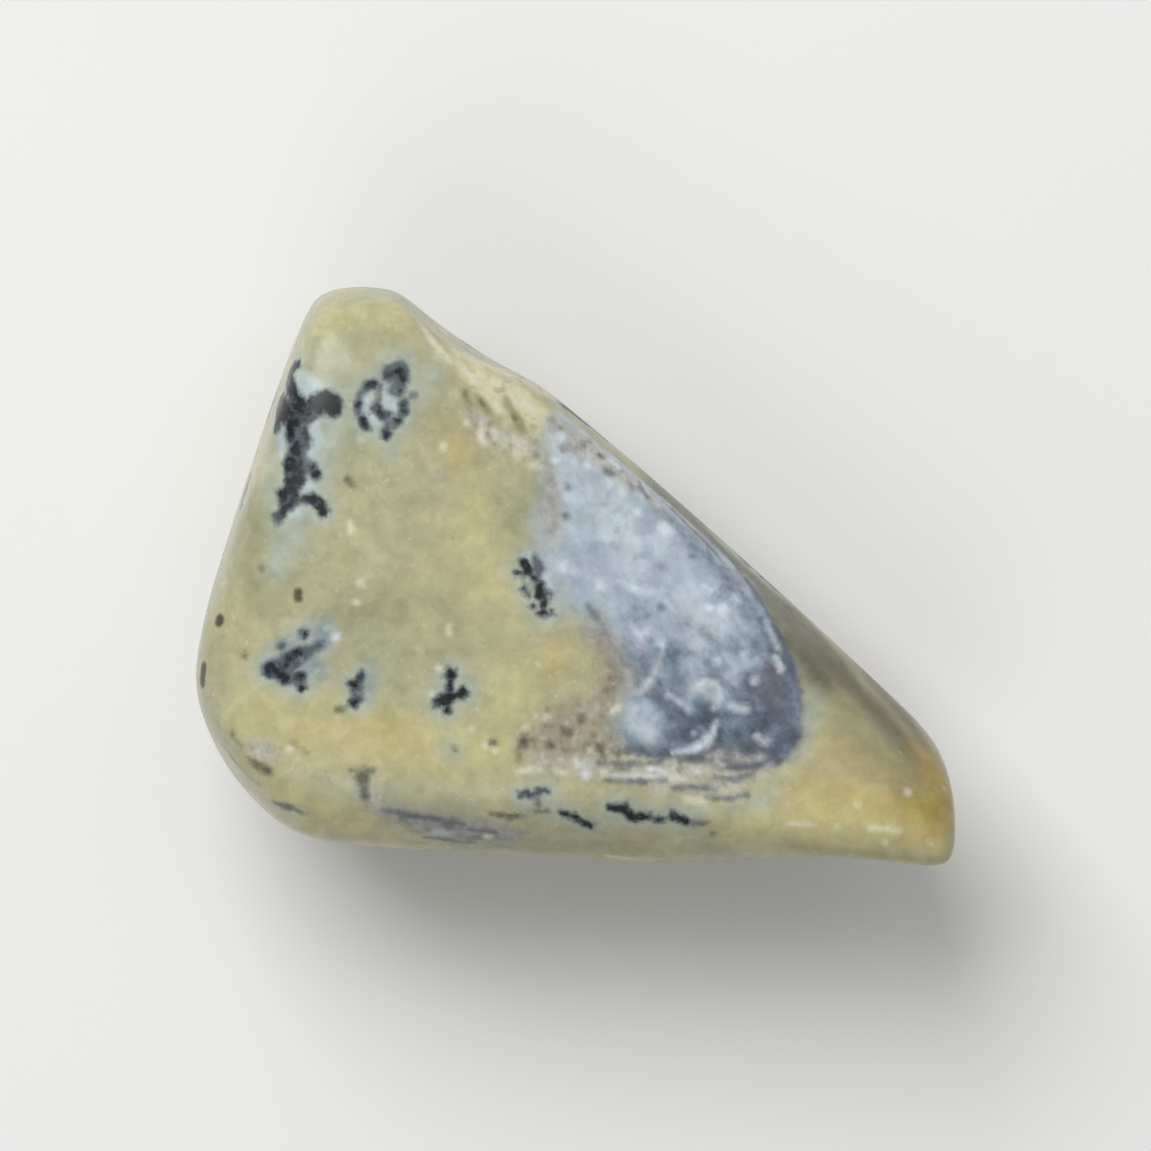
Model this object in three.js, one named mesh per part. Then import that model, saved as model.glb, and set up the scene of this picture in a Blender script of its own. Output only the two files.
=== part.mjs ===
import * as THREE from "three";
import { mergeVertices } from "three/addons/utils/BufferGeometryUtils.js";

// Overall size of the stone in millimetres, lying on its flat spot with its length along X
const LENGTH = 30.3;
const WIDTH = 23.1;
const THICKNESS = 14.0;

// Every face is measured from the heart, a point inside the stone above the ground
const HEART = new THREE.Vector3(-2, -2, 7);

// How far the tumbling has rounded the edge between two faces
const EDGE_ROUNDING = 0.5;

// Each worn face: its turn in degrees from +X towards +Y, its tilt above the horizon in degrees,
// and its reach from the heart in millimetres
const FACES = {
  broadFace: [190, 85.5, 7.1],
  windowSide: [42, 75, 7.0],
  tipSlope: [12, 64, 10.5],
  lowerFacet: [266, 43, 9.85],
  lowerLeftBevel: [228, 36, 13.2],
  knobSlope: [84, 46, 12.3],
  leftSlope: [168, 52, 12.1],
  sideBand: [46, 26, 8.1],
  leftWall: [161.5, 4, 12.8],
  leftCornerWall: [186, -7, 13.6],
  lowerLeftWall: [213, 8, 13.6],
  lowerLeftTurn: [236, -8, 12.2],
  lowerWall: [267, -11, 8.5],
  tipEnd: [4, 4, 17.15],
  longWall: [47, -15, 7.75],
  shoulderWall: [53, -3, 8.15],
  knobTopWall: [90, 9, 13.95],
  knobLeftWall: [142, -7, 15.9],
  underLeft: [166, -44, 10.9],
  underCorner: [206, -38, 11.6],
  underLower: [256, -52, 8.5],
  underLongWall: [52, -46, 8.1],
  underTip: [342, -34, 14.3],
  underKnob: [100, -36, 12.0],
  bellyLeft: [205, -77, 7.55],
  bellyRight: [15, -76, 7.7],
};

// Each scooped hollow: a plan point over it, the turn and tilt it faces, its length, width and depth,
// the turn of its length, and how far its rim is rounded
const HOLLOWS = {
  windowSlope: { at: [3.0, 0.7], turn: 42, tilt: 76, size: [15.0, 6.6, 0.4], along: -50, rim: 0.25 },
  windowBowl: { at: [4.9, -4.3], turn: 30, tilt: 75, size: [9.2, 7.6, 0.9], along: -58, rim: 0.25 },
  shoulderHollow: { at: [-4.9, 9.6], turn: 56, tilt: 10, size: [4.8, 9.0, 0.52], along: -42, rim: 0.35 },
  lowerWallHollow: { at: [9.2, -11.2], turn: 270, tilt: 0, size: [8.0, 8.0, 0.4], along: 0, rim: 0.3 },
  undersideDent: { at: [-8.0, 4.0], turn: 150, tilt: -52, size: [8.0, 6.0, 0.6], along: 70, rim: 0.3 },
};

// How far behind its plan point, inside the stone, a hollow's place on the surface is looked for from
const SCOOP_START_DEPTH = 3;

// Plan corners of the level sheet, at the heart's height, that the lines to the surface start from
const CORE = {
  lowerLeft: new THREE.Vector3(-8.5, -5.5, HEART.z),
  lowerRight: new THREE.Vector3(9.0, -8.4, HEART.z),
  upperLeft: new THREE.Vector3(-8.0, 5.5, HEART.z),
  upperRight: new THREE.Vector3(8.0, -6.2, HEART.z),
};

// How far the lines fan out along X, Y and Z, and how many there are along each edge of the grid
const FAN = new THREE.Vector3(6, 5, 7);
const GRID_STEPS = [40, 26, 16];
const BISECTIONS = 40;

const OLIVE_CREAM = 0xaeaa8a;
const POLISHED_ROUGHNESS = 0.3;

function directionOf(turn, tilt) {
  const around = THREE.MathUtils.degToRad(turn);
  const upward = THREE.MathUtils.degToRad(tilt);
  const level = Math.cos(upward);
  return new THREE.Vector3(level * Math.cos(around), level * Math.sin(around), Math.sin(upward));
}

// The largest of the values, with the step between two near ones rounded off
function roundedMax(values, rounding) {
  const highest = Math.max(...values);
  const sum = values.reduce((total, value) => total + Math.exp((value - highest) / rounding), 0);
  return highest + rounding * Math.log(sum);
}

const facePlanes = Object.values(FACES).map(([turn, tilt, reach]) => {
  const normal = directionOf(turn, tilt);
  return new THREE.Plane(normal, -reach - normal.dot(HEART));
});

// Below zero inside the uncut body, above zero outside it
function bodyHeight(point) {
  return roundedMax(facePlanes.map((plane) => plane.distanceToPoint(point)), EDGE_ROUNDING);
}

// The point where a line from inside leaves the shape that the height function describes
function exitPoint(start, direction, heightAt) {
  const point = new THREE.Vector3();
  let inside = 0;
  let outside = LENGTH;
  for (let step = 0; step < BISECTIONS; step += 1) {
    const middle = (inside + outside) / 2;
    point.copy(start).addScaledVector(direction, middle);
    if (heightAt(point) < 0) {
      inside = middle;
    } else {
      outside = middle;
    }
  }
  return point.copy(start).addScaledVector(direction, inside);
}

// A hollow's own axes at the place on the body where it is scooped
function hollowFrame({ at, turn, tilt, size, along, rim }) {
  const outward = directionOf(turn, tilt);
  const lengthwise = directionOf(along, 0).projectOnPlane(outward).normalize();
  const crosswise = outward.clone().cross(lengthwise);
  const depth = size[2];
  const start = new THREE.Vector3(at[0], at[1], HEART.z).addScaledVector(outward, -SCOOP_START_DEPTH);
  const mouth = exitPoint(start, outward, bodyHeight);
  const bend = (span) => ((span / 2) ** 2 + depth ** 2) / depth;
  return { outward, lengthwise, crosswise, depth, mouth, rim, bends: [bend(size[0]), bend(size[1])] };
}

const hollowFrames = Object.values(HOLLOWS).map(hollowFrame);

// Above zero inside the scoop of one hollow
function scoopHeight(frame, point) {
  const offset = point.clone().sub(frame.mouth);
  const riseAlong = offset.dot(frame.lengthwise) ** 2 / frame.bends[0];
  const riseAcross = offset.dot(frame.crosswise) ** 2 / frame.bends[1];
  return offset.dot(frame.outward) + frame.depth - riseAlong - riseAcross;
}

// The whole stone, cut flat where it touches the ground
function stoneHeight(point) {
  const carve = (height, frame) => roundedMax([height, scoopHeight(frame, point)], frame.rim);
  const worn = hollowFrames.reduce(carve, bodyHeight(point));
  return Math.max(worn, -point.z);
}

// The point of the core sheet at a share of its width and height, each from -1 to 1
function corePoint(across, up) {
  const lower = CORE.lowerLeft.clone().lerp(CORE.lowerRight, (across + 1) / 2);
  const upper = CORE.upperLeft.clone().lerp(CORE.upperRight, (across + 1) / 2);
  return lower.lerp(upper, (up + 1) / 2);
}

// A box's surface grid drawn out from the core sheet until each point meets the stone's surface
function stoneGeometry() {
  const box = new THREE.BoxGeometry(2, 2, 2, ...GRID_STEPS);
  box.deleteAttribute("normal");
  box.deleteAttribute("uv");
  const geometry = mergeVertices(box);
  const points = geometry.getAttribute("position");
  const even = (share) => Math.tan((share * Math.PI) / 4);
  const direction = new THREE.Vector3();
  for (let index = 0; index < points.count; index += 1) {
    direction.fromBufferAttribute(points, index);
    direction.set(even(direction.x), even(direction.y), even(direction.z));
    const start = corePoint(direction.x, direction.y);
    const surface = exitPoint(start, direction.multiply(FAN).normalize(), stoneHeight);
    points.setXYZ(index, surface.x, surface.y, surface.z);
  }
  return geometry;
}

// The drawn shape brought to its exact size, with the middle of its underside at the origin
function fitToSize(geometry) {
  geometry.computeBoundingBox();
  const size = geometry.boundingBox.getSize(new THREE.Vector3());
  const centre = geometry.boundingBox.getCenter(new THREE.Vector3());
  geometry.translate(-centre.x, -centre.y, -geometry.boundingBox.min.z);
  geometry.scale(LENGTH / size.x, WIDTH / size.y, THICKNESS / size.z);
  geometry.computeVertexNormals();
  return geometry;
}

function stoneMesh() {
  const material = new THREE.MeshStandardMaterial({
    color: OLIVE_CREAM,
    roughness: POLISHED_ROUGHNESS,
    metalness: 0,
  });
  const mesh = new THREE.Mesh(fitToSize(stoneGeometry()), material);
  mesh.name = "stone";
  return mesh;
}

const group = new THREE.Group();
group.name = "tumbled_stone";
group.add(stoneMesh());

export default group;
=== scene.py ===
import math

import bpy
import numpy as np
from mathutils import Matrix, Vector
from mathutils.bvhtree import BVHTree


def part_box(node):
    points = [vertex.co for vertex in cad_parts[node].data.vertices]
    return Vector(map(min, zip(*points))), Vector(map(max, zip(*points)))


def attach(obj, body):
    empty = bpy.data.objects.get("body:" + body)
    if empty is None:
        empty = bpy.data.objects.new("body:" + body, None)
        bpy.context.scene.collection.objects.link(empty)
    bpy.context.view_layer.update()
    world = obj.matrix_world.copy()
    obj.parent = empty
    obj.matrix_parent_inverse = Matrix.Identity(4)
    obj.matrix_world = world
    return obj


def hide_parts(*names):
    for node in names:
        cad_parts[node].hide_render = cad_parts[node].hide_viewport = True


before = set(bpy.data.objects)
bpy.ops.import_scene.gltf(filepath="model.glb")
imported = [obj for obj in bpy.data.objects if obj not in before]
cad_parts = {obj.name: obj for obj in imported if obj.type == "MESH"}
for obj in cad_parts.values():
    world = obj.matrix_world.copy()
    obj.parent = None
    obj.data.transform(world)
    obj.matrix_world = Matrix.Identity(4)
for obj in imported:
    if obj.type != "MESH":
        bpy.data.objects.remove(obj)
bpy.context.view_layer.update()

mm = 0.001
tiny = 1e-9              # keeps a divisor off zero
scene = bpy.context.scene
print("stage: frame loaded")


# The stone's form, in millimetres: worn faces round a heart, with hollows scooped into them.
# A face is its turn from +X towards +Y and its tilt above the horizon in degrees, then its reach.
# A hollow is a plan point over it, the turn and tilt it faces, its length, width and depth,
# the turn of its length, and how far its rim is rounded to the right and to the left of its length.
stoneForm = {
    "heart": (-2.0, -2.0, 7.0),
    "edgeRounding": 0.5,
    "faces": {
        "broadFace": (190, 85.5, 7.1),
        "windowSide": (42, 75, 7.0),
        "tipSlope": (12, 64, 10.5),
        "lowerFacet": (266, 43, 9.85),
        "lowerLeftBevel": (228, 36, 13.2),
        "knobSlope": (84, 46, 12.3),
        "leftSlope": (168, 52, 12.1),
        "sideBand": (46, 26, 8.1),
        "leftWall": (161.5, 4, 12.8),
        "leftCornerWall": (186, -7, 13.6),
        "lowerLeftWall": (213, 8, 13.6),
        "lowerLeftTurn": (236, -8, 12.2),
        "lowerWall": (267, -11, 8.5),
        "tipEnd": (4, 4, 17.15),
        "longWall": (47, -15, 7.75),
        "shoulderWall": (53, -3, 8.15),
        "knobTopWall": (90, 9, 13.95),
        "knobLeftWall": (142, -7, 15.9),
        "underLeft": (166, -44, 10.9),
        "underCorner": (206, -38, 11.6),
        "underLower": (256, -52, 8.5),
        "underLongWall": (52, -46, 8.1),
        "underTip": (342, -34, 14.3),
        "underKnob": (100, -36, 12.0),
        "bellyLeft": (205, -77, 7.55),
        "bellyRight": (15, -76, 7.7),
    },
    "hollows": {
        "windowSlope": ((3.0, 0.7), (42, 76), (15.0, 6.6, 0.4), -50, (0.5, 0.16)),
        "windowBowl": ((4.9, -4.3), (30, 75), (9.2, 7.6, 0.9), -58, (0.4, 0.13)),
        "shoulderHollow": ((-4.9, 9.6), (56, 10), (4.8, 9.0, 0.52), -42, (0.35, 0.35)),
        "lowerWallHollow": ((9.2, -11.2), (270, 0), (8.0, 8.0, 0.4), 0, (0.3, 0.3)),
        "undersideDent": ((-8.0, 4.0), (150, -52), (8.0, 6.0, 0.6), 70, (0.3, 0.3)),
    },
    "scoopStartDepth": 3.0,
    # the level sheet that the surface is drawn out from, and how far the lines fan along X, Y and Z
    "sheetCorners": {"lower": ((-8.5, -5.5), (9.0, -8.4)), "upper": ((-8.6, 7.4), (8.0, -6.2))},
    "fan": (6.0, 5.0, 7.0),
    "gridSteps": (184, 136, 76),
    "bisections": 34,
    "farthest": 30.0,
}


def smoothStep(value, start, end):
    share = np.clip((value - start) / (end - start), 0, 1)
    return share * share * (3 - 2 * share)


def directionOf(turn, tilt):
    around = math.radians(turn)
    upward = math.radians(tilt)
    level = math.cos(upward)
    return np.array([level * math.cos(around), level * math.sin(around), math.sin(upward)])


def roundedMax(first, second, rounding):
    step = np.abs(first - second) / rounding
    return np.maximum(first, second) + rounding * np.log1p(np.exp(-step))


def facePlanes(form):
    normals = np.array([directionOf(turn, tilt) for turn, tilt, _ in form["faces"].values()])
    reaches = np.array([reach for _, _, reach in form["faces"].values()])
    return normals, reaches + normals @ np.array(form["heart"])


def bodyHeight(points, planes, rounding):      # below zero inside the uncut body
    heights = (points @ planes[0].T - planes[1]) / rounding
    highest = heights.max(axis=1)
    return rounding * (highest + np.log(np.exp(heights - highest[:, None]).sum(axis=1)))


def exitPoints(starts, directions, heightOf, form):      # where each line leaves the shape
    inside = np.zeros(len(starts))
    outside = np.full(len(starts), form["farthest"])
    for _ in range(form["bisections"]):
        middle = (inside + outside) / 2
        within = heightOf(starts + directions * middle[:, None]) < 0
        inside = np.where(within, middle, inside)
        outside = np.where(within, outside, middle)
    return starts + directions * inside[:, None]


def hollowFrames(form, planes):
    frames = []
    for at, facing, size, along, rims in form["hollows"].values():
        outward = directionOf(*facing)
        lengthwise = directionOf(along, 0)
        lengthwise = lengthwise - outward * (lengthwise @ outward)
        lengthwise /= np.linalg.norm(lengthwise)
        start = np.array([*at, form["heart"][2]]) - outward * form["scoopStartDepth"]
        body = lambda points: bodyHeight(points, planes, form["edgeRounding"])
        mouth = exitPoints(start[None], outward[None], body, form)[0]
        bends = [((span / 2) ** 2 + size[2] ** 2) / size[2] for span in size[:2]]
        frames.append((mouth, outward, lengthwise, np.cross(outward, lengthwise), bends, size, rims))
    return frames


def stoneHeight(points, planes, frames, rounding):      # the whole stone, cut flat where it rests
    height = bodyHeight(points, planes, rounding)
    for mouth, outward, lengthwise, crosswise, bends, size, rims in frames:
        offset = points - mouth
        across = offset @ crosswise
        # the rim's rounding changes over the middle half of the hollow's width
        rim = rims[0] + (rims[1] - rims[0]) * smoothStep(across, -size[1] / 4, size[1] / 4)
        rise = (offset @ lengthwise) ** 2 / bends[0] + across ** 2 / bends[1]
        height = roundedMax(height, offset @ outward + size[2] - rise, rim)
    return np.maximum(height, -points[:, 2])


def boxGrid(steps):      # the points of a box's surface, from -1 to 1, and its outward quads
    wide, deep, high = steps
    idOf = lambda i, j, k: (i * (deep + 1) + j) * (high + 1) + k
    i, j, k = (np.arange(count + 1) for count in steps)
    sides = [
        idOf(wide, j[:, None], k[None]), idOf(0, j[None], k[:, None]),
        idOf(i[None], deep, k[:, None]), idOf(i[:, None], 0, k[None]),
        idOf(i[:, None], j[None], high), idOf(i[None], j[:, None], 0),
    ]
    quads = [np.stack([s[:-1, :-1], s[1:, :-1], s[1:, 1:], s[:-1, 1:]], -1).reshape(-1, 4) for s in sides]
    used, quads = np.unique(np.concatenate(quads), return_inverse=True)
    rows, k = np.divmod(used, high + 1)
    i, j = np.divmod(rows, deep + 1)
    places = np.stack([i, j, k], -1) / np.array(steps) * 2 - 1
    return np.tan(places * math.pi / 4), quads.reshape(-1, 4)


def stoneSurface(form):      # points in millimetres, fitted to the solid's own box, and quads
    planes = facePlanes(form)
    frames = hollowFrames(form, planes)
    shares, quads = boxGrid(form["gridSteps"])
    toRight = (shares[:, :1] + 1) / 2
    toUpper = (shares[:, 1:2] + 1) / 2
    lower, upper = (
        np.array(left) + (np.array(right) - np.array(left)) * toRight
        for left, right in form["sheetCorners"].values()
    )
    starts = np.column_stack([lower + (upper - lower) * toUpper, np.full(len(shares), form["heart"][2])])
    directions = shares * np.array(form["fan"])
    directions /= np.linalg.norm(directions, axis=1)[:, None]
    height = lambda points: stoneHeight(points, planes, frames, form["edgeRounding"])
    points = exitPoints(starts, directions, height, form)
    low, high = (np.array(corner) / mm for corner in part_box("stone"))
    return low + (points - points.min(axis=0)) * (high - low) / np.ptp(points, axis=0), quads


def pointNormals(points, quads):
    across = points[quads[:, 2]] - points[quads[:, 0]]
    other = points[quads[:, 3]] - points[quads[:, 1]]
    facing = np.cross(across, other)
    normals = np.zeros_like(points)
    for corner in range(4):
        np.add.at(normals, quads[:, corner], facing)
    return normals / np.maximum(np.linalg.norm(normals, axis=1), tiny)[:, None]


surfacePoints, surfaceQuads = stoneSurface(stoneForm)
surfaceNormals = pointNormals(surfacePoints, surfaceQuads)
surfaceTree = BVHTree.FromPolygons(surfacePoints.tolist(), surfaceQuads.tolist())
print("stage: form drawn,", len(surfacePoints), "points")


# Marks are drawn flat on a side, in millimetres right and up from the stone's middle, and laid on
# the surface from outside. A side is the turn and tilt of the direction it faces.
drawingSides = {
    "top": (0, 90),
    "under": (0, -90),
    "front": (270, 0),
    "longWall": (46, 0),
    "left": (172, 0),
}
stoneMiddle = np.array([0.0, 0.0, 7.0])
laying = {
    "rayStart": 40.0,        # how far out the rays that lay a mark begin
    "farAway": 9.0,          # the distance given to points that no mark of a kind comes near
    "strokeReach": 3.0,      # how far from a stroke its distance is worked out
    "curveSteps": 8,         # points of an outline from corner to corner
    "leastFacing": 0.38,     # an outline ends where the surface turns away from its side
    "turnedAwayRise": 9.0,
}


def sideAxes(side):
    turn, tilt = drawingSides[side]
    toward = directionOf(turn, tilt)
    right = np.array([1.0, 0.0, 0.0]) if abs(tilt) == 90 else directionOf(turn + 90, 0)
    return right, np.cross(toward, right), toward


def laidOn(side, right, up):      # the surface point that a drawn point falls on
    rightAxis, upAxis, toward = sideAxes(side)
    flat = stoneMiddle + rightAxis * right + upAxis * up
    hit = surfaceTree.ray_cast(Vector(flat + toward * laying["rayStart"]), Vector(-toward))[0]
    if hit is None:      # just past the outline: the nearest point of the edge
        hit = surfaceTree.find_nearest(Vector(flat))[0]
    return np.array(hit)


def flatPlaces(side):      # where the surface points lie on the side's drawing
    rightAxis, upAxis, _ = sideAxes(side)
    return np.column_stack([(surfacePoints - stoneMiddle) @ axis for axis in (rightAxis, upAxis)])


def alongLine(points, first, second):      # how far along it each point lies, as a share, and its gap
    line = second - first
    offset = points - first
    share = np.clip(offset @ line / max(line @ line, tiny), 0, 1)
    return share, np.linalg.norm(offset - share[:, None] * line, axis=1)


def strokeEdge(strokesBySide):
    # distance in millimetres from each point to the edge of the nearest stroke, below zero inside it
    nearest = np.full(len(surfacePoints), laying["farAway"])
    for side, strokes in strokesBySide.items():
        for stroke in strokes:
            laid = [(laidOn(side, right, up), radius) for right, up, radius in np.reshape(stroke, (-1, 3))]
            for (first, firstRadius), (second, secondRadius) in zip(laid, laid[1:] or laid):
                around = laying["strokeReach"] + max(firstRadius, secondRadius)
                away = np.linalg.norm(surfacePoints - (first + second) / 2, axis=1)
                near = np.flatnonzero(away < np.linalg.norm(second - first) / 2 + around)
                share, gap = alongLine(surfacePoints[near], first, second)
                edge = gap - firstRadius - (secondRadius - firstRadius) * share
                nearest[near] = np.minimum(nearest[near], edge)
    return nearest


def smoothLoop(corners, steps):      # a closed curve that passes smoothly through the corners
    corners = np.array(corners)
    before, after, beyond = (np.roll(corners, shift, axis=0) for shift in (1, -1, -2))
    t = (np.arange(steps) / steps)[None, :, None]
    a, b, c, d = (points[:, None] for points in (before, corners, after, beyond))
    curve = b + 0.5 * t * (c - a + t * (2 * a - 5 * b + 4 * c - d + t * (3 * b - a - 3 * c + d)))
    return curve.reshape(-1, 2)


def outlineEdge(side, corners):      # distance to a drawn outline, below zero inside it
    flat = flatPlaces(side)
    loop = smoothLoop(corners, laying["curveSteps"])
    edge = np.full(len(flat), laying["farAway"])
    inside = np.zeros(len(flat), bool)
    for first, second in zip(loop, np.roll(loop, -1, axis=0)):
        edge = np.minimum(edge, alongLine(flat, first, second)[1])
        line = second - first
        crosses = (first[1] > flat[:, 1]) != (second[1] > flat[:, 1])
        inside ^= crosses & (flat[:, 0] < first[0] + (flat[:, 1] - first[1]) * line[0] / (line[1] or tiny))
    facing = surfaceNormals @ sideAxes(side)[2]
    turnedAway = np.maximum(laying["leastFacing"] - facing, 0) * laying["turnedAwayRise"]
    return np.minimum(np.where(inside, -edge, edge) + turnedAway, laying["farAway"])


# A stroke is right, up and radius at one point after another, and one of a single point is a dot.
# These are the black tree-like marks that show from above.
branchingDendrite = [
    (-11.05, 8.35, 0.16, -11.35, 8.05, 0.3, -11.35, 7.6, 0.26, -11.15, 7.1, 0.22, -10.9, 6.7, 0.25),
    (-11.75, 6.85, 0.36, -11.75, 6.45, 0.36), (-11.85, 6.0, 0.26),
    (-11.6, 6.6, 0.44, -11.2, 6.4, 0.48, -10.8, 6.35, 0.4),
    (-10.6, 6.45, 0.32, -10.3, 6.75, 0.36, -9.9, 6.85, 0.42, -9.68, 6.78, 0.38), (-9.58, 6.55, 0.24),
    (-11.3, 5.9, 0.12, -11.25, 5.5, 0.08), (-10.75, 5.75, 0.1, -10.65, 5.3, 0.12),
    (-11.05, 5.15, 0.13, -11.1, 4.85, 0.17), (-11.3, 4.45, 0.22, -11.25, 4.1, 0.2),
    (-10.95, 4.45, 0.12, -10.92, 4.1, 0.15, -11.0, 3.7, 0.21), (-11.3, 3.75, 0.18, -11.25, 3.3, 0.25),
    (-11.65, 3.25, 0.19), (-11.42, 2.9, 0.22, -11.6, 2.6, 0.2), (-11.82, 2.35, 0.13),
    (-10.75, 3.0, 0.13, -10.45, 3.02, 0.18, -10.15, 2.85, 0.17, -9.97, 2.5, 0.13), (-10.42, 4.32, 0.09),
    (-10.3, 4.03, 0.11),
]
ringDendrite = [
    (-8.25, 7.52, 0.06, -7.98, 7.62, 0.07), (-8.6, 6.75, 0.07), (-8.5, 6.25, 0.07, -8.3, 5.95, 0.09),
    (-6.95, 7.25, 0.08), (-6.8, 6.8, 0.06, -6.82, 6.5, 0.08), (-7.05, 6.1, 0.07), (-7.52, 5.6, 0.1),
    (-7.8, 6.55, 0.08, -7.5, 6.35, 0.11), (-8.0, 6.6, 0.06), (-6.95, 8.15, 0.13), (-7.4, 7.98, 0.12),
    (-6.85, 7.8, 0.09),
]
leftClump = [
    (-12.1, -3.7, 0.25), (-11.75, -3.85, 0.19), (-11.5, -3.55, 0.12, -11.35, -3.35, 0.15),
    (-11.0, -3.05, 0.13), (-11.5, -4.1, 0.12), (-10.95, -4.02, 0.11), (-10.86, -4.42, 0.1),
    (-10.76, -2.28, 0.11),
]
middleMarks = [
    (-8.82, -4.32, 0.14), (-8.52, -4.05, 0.08), (-8.78, -5.0, 0.13), (-4.95, -3.87, 0.16),
    (-4.95, -4.15, 0.05, -5.0, -4.6, 0.09), (-5.1, -5.3, 0.13),
    (-5.45, -5.0, 0.14, -5.05, -4.9, 0.2, -4.75, -4.75, 0.12, -4.45, -4.65, 0.15),
    (-2.05, 0.55, 0.11, -1.85, 0.15, 0.15), (-1.62, -0.12, 0.08), (-1.42, -0.4, 0.13, -1.42, -0.75, 0.18),
    (-1.25, -1.12, 0.12), (-1.3, -1.48, 0.13), (-2.3, 0.12, 0.05), (-2.05, -0.5, 0.05), (-1.85, -0.72, 0.06),
    (-1.0, -0.72, 0.07), (-1.7, -1.2, 0.06), (-0.95, -1.45, 0.06),
]
lowerFacetMarks = [
    (-2.15, -8.68, 0.07, -1.85, -8.7, 0.09), (-1.5, -8.56, 0.07, -1.2, -8.52, 0.07),
    (-0.5, -9.42, 0.06, -0.05, -9.6, 0.09, 0.3, -9.8, 0.1, 0.58, -9.92, 0.06),
    (1.4, -9.18, 0.07, 1.7, -9.22, 0.13, 2.0, -9.27, 0.17, 2.2, -9.53, 0.19),
    (2.2, -9.55, 0.18, 2.5, -9.6, 0.15, 2.82, -9.56, 0.1), (3.3, -9.7, 0.1),
    (3.85, -9.52, 0.1, 4.1, -9.65, 0.14, 4.38, -9.74, 0.1),
]

# How the marks on the hidden sides grow: seeded, wandering stems that throw off thinner twigs
hiddenGrowth = {
    "seed": 41,
    "stepLength": 0.3,
    "stepRange": (0.6, 1.3),       # each step, as a share of the step length
    "wander": 45,                  # degrees a stem may turn at each step
    "thickness": (0.35, 1.2),      # each step, as a share of the radius
    "taper": 0.4,                  # how much thinner a stem ends
    "twigOrders": 2,               # twigs, and twigs on twigs
    "twigShare": 0.5,              # chance of a twig at each step
    "twigTurn": (45, 100),
    "twigSteps": (1, 4),
    "twigThickness": 0.85,
    "crumbShare": 0.4,             # chance of a loose crumb beside a step
    "crumbSpread": 0.3,
    "crumbRadius": (0.03, 0.08),
    "gapShare": 0.15,              # chance of a gap after a step
    "slateShare": 0.4,             # chance that a stem has a slate-blue edge
    "slateWidth": 1.4,
    "stems": {                     # side: (right, up, turn, steps, radius) of each stem
        "under": [
            (-9.5, -4.6, 20, 9, 0.27), (5.4, 4.4, 150, 7, 0.24), (-3.8, 8.0, 290, 6, 0.22),
            (1.8, -2.6, 75, 7, 0.22), (-12.2, 2.6, 60, 5, 0.2), (9.8, 6.9, 170, 5, 0.18),
            (-6.2, -8.2, 200, 5, 0.2), (0.4, 1.6, 330, 4, 0.16),
        ],
        "front": [
            (-9.5, -2.0, 10, 7, 0.22), (-1.5, -1.2, 345, 8, 0.24), (6.0, -1.0, 20, 6, 0.2),
            (11.4, -0.6, 200, 4, 0.16), (-4.6, -4.2, 170, 5, 0.2),
        ],
        "longWall": [
            (8.6, -1.4, 200, 7, 0.24), (2.4, -2.2, 340, 6, 0.22), (-6.0, 0.8, 20, 8, 0.24),
            (-10.8, -2.6, 60, 5, 0.18), (4.8, 2.0, 160, 5, 0.18), (-1.6, -4.6, 190, 6, 0.22),
        ],
        "left": [
            (-6.0, -1.2, 40, 7, 0.24), (1.4, -2.4, 340, 7, 0.24), (6.2, 1.0, 200, 6, 0.2),
            (-1.0, 2.4, 160, 4, 0.16), (4.4, -4.6, 10, 5, 0.2),
        ],
    },
}


def grow(strokes, draw, growth, right, up, turn, steps, radius, twigs):
    stem = [(right, up, radius)]
    for step in range(steps):
        turn += draw.uniform(-growth["wander"], growth["wander"])
        length = growth["stepLength"] * draw.uniform(*growth["stepRange"])
        right += length * math.cos(math.radians(turn))
        up += length * math.sin(math.radians(turn))
        thick = radius * draw.uniform(*growth["thickness"]) * (1 - growth["taper"] * step / steps)
        stem.append((right, up, thick))
        if twigs and draw.random() < growth["twigShare"]:
            aside = turn + draw.choice([-1, 1]) * draw.uniform(*growth["twigTurn"])
            twigLength = draw.integers(*growth["twigSteps"])
            thin = thick * growth["twigThickness"]
            grow(strokes, draw, growth, right, up, aside, twigLength, thin, twigs - 1)
        if draw.random() < growth["crumbShare"]:
            beside = right + draw.normal(0, growth["crumbSpread"])
            above = up + draw.normal(0, growth["crumbSpread"])
            strokes.append([(beside, above, draw.uniform(*growth["crumbRadius"]))])
        if draw.random() < growth["gapShare"]:
            strokes.append(stem)
            stem = [(right + length, up, thick)]
    strokes.append(stem)


def grownStems(growth):      # the black strokes and the slate-blue ones of each side
    draw = np.random.default_rng(growth["seed"])
    grown = {}
    for side, stems in growth["stems"].items():
        black, slate = [], []
        for right, up, turn, steps, radius in stems:
            before = len(black)
            grow(black, draw, growth, right, up, turn, steps, radius, growth["twigOrders"])
            if draw.random() < growth["slateShare"]:
                slate += [np.array(stroke) * (1, 1, growth["slateWidth"]) for stroke in black[before:][::2]]
        grown[side] = {"ink": black, "softInk": slate}
    return grown


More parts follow.
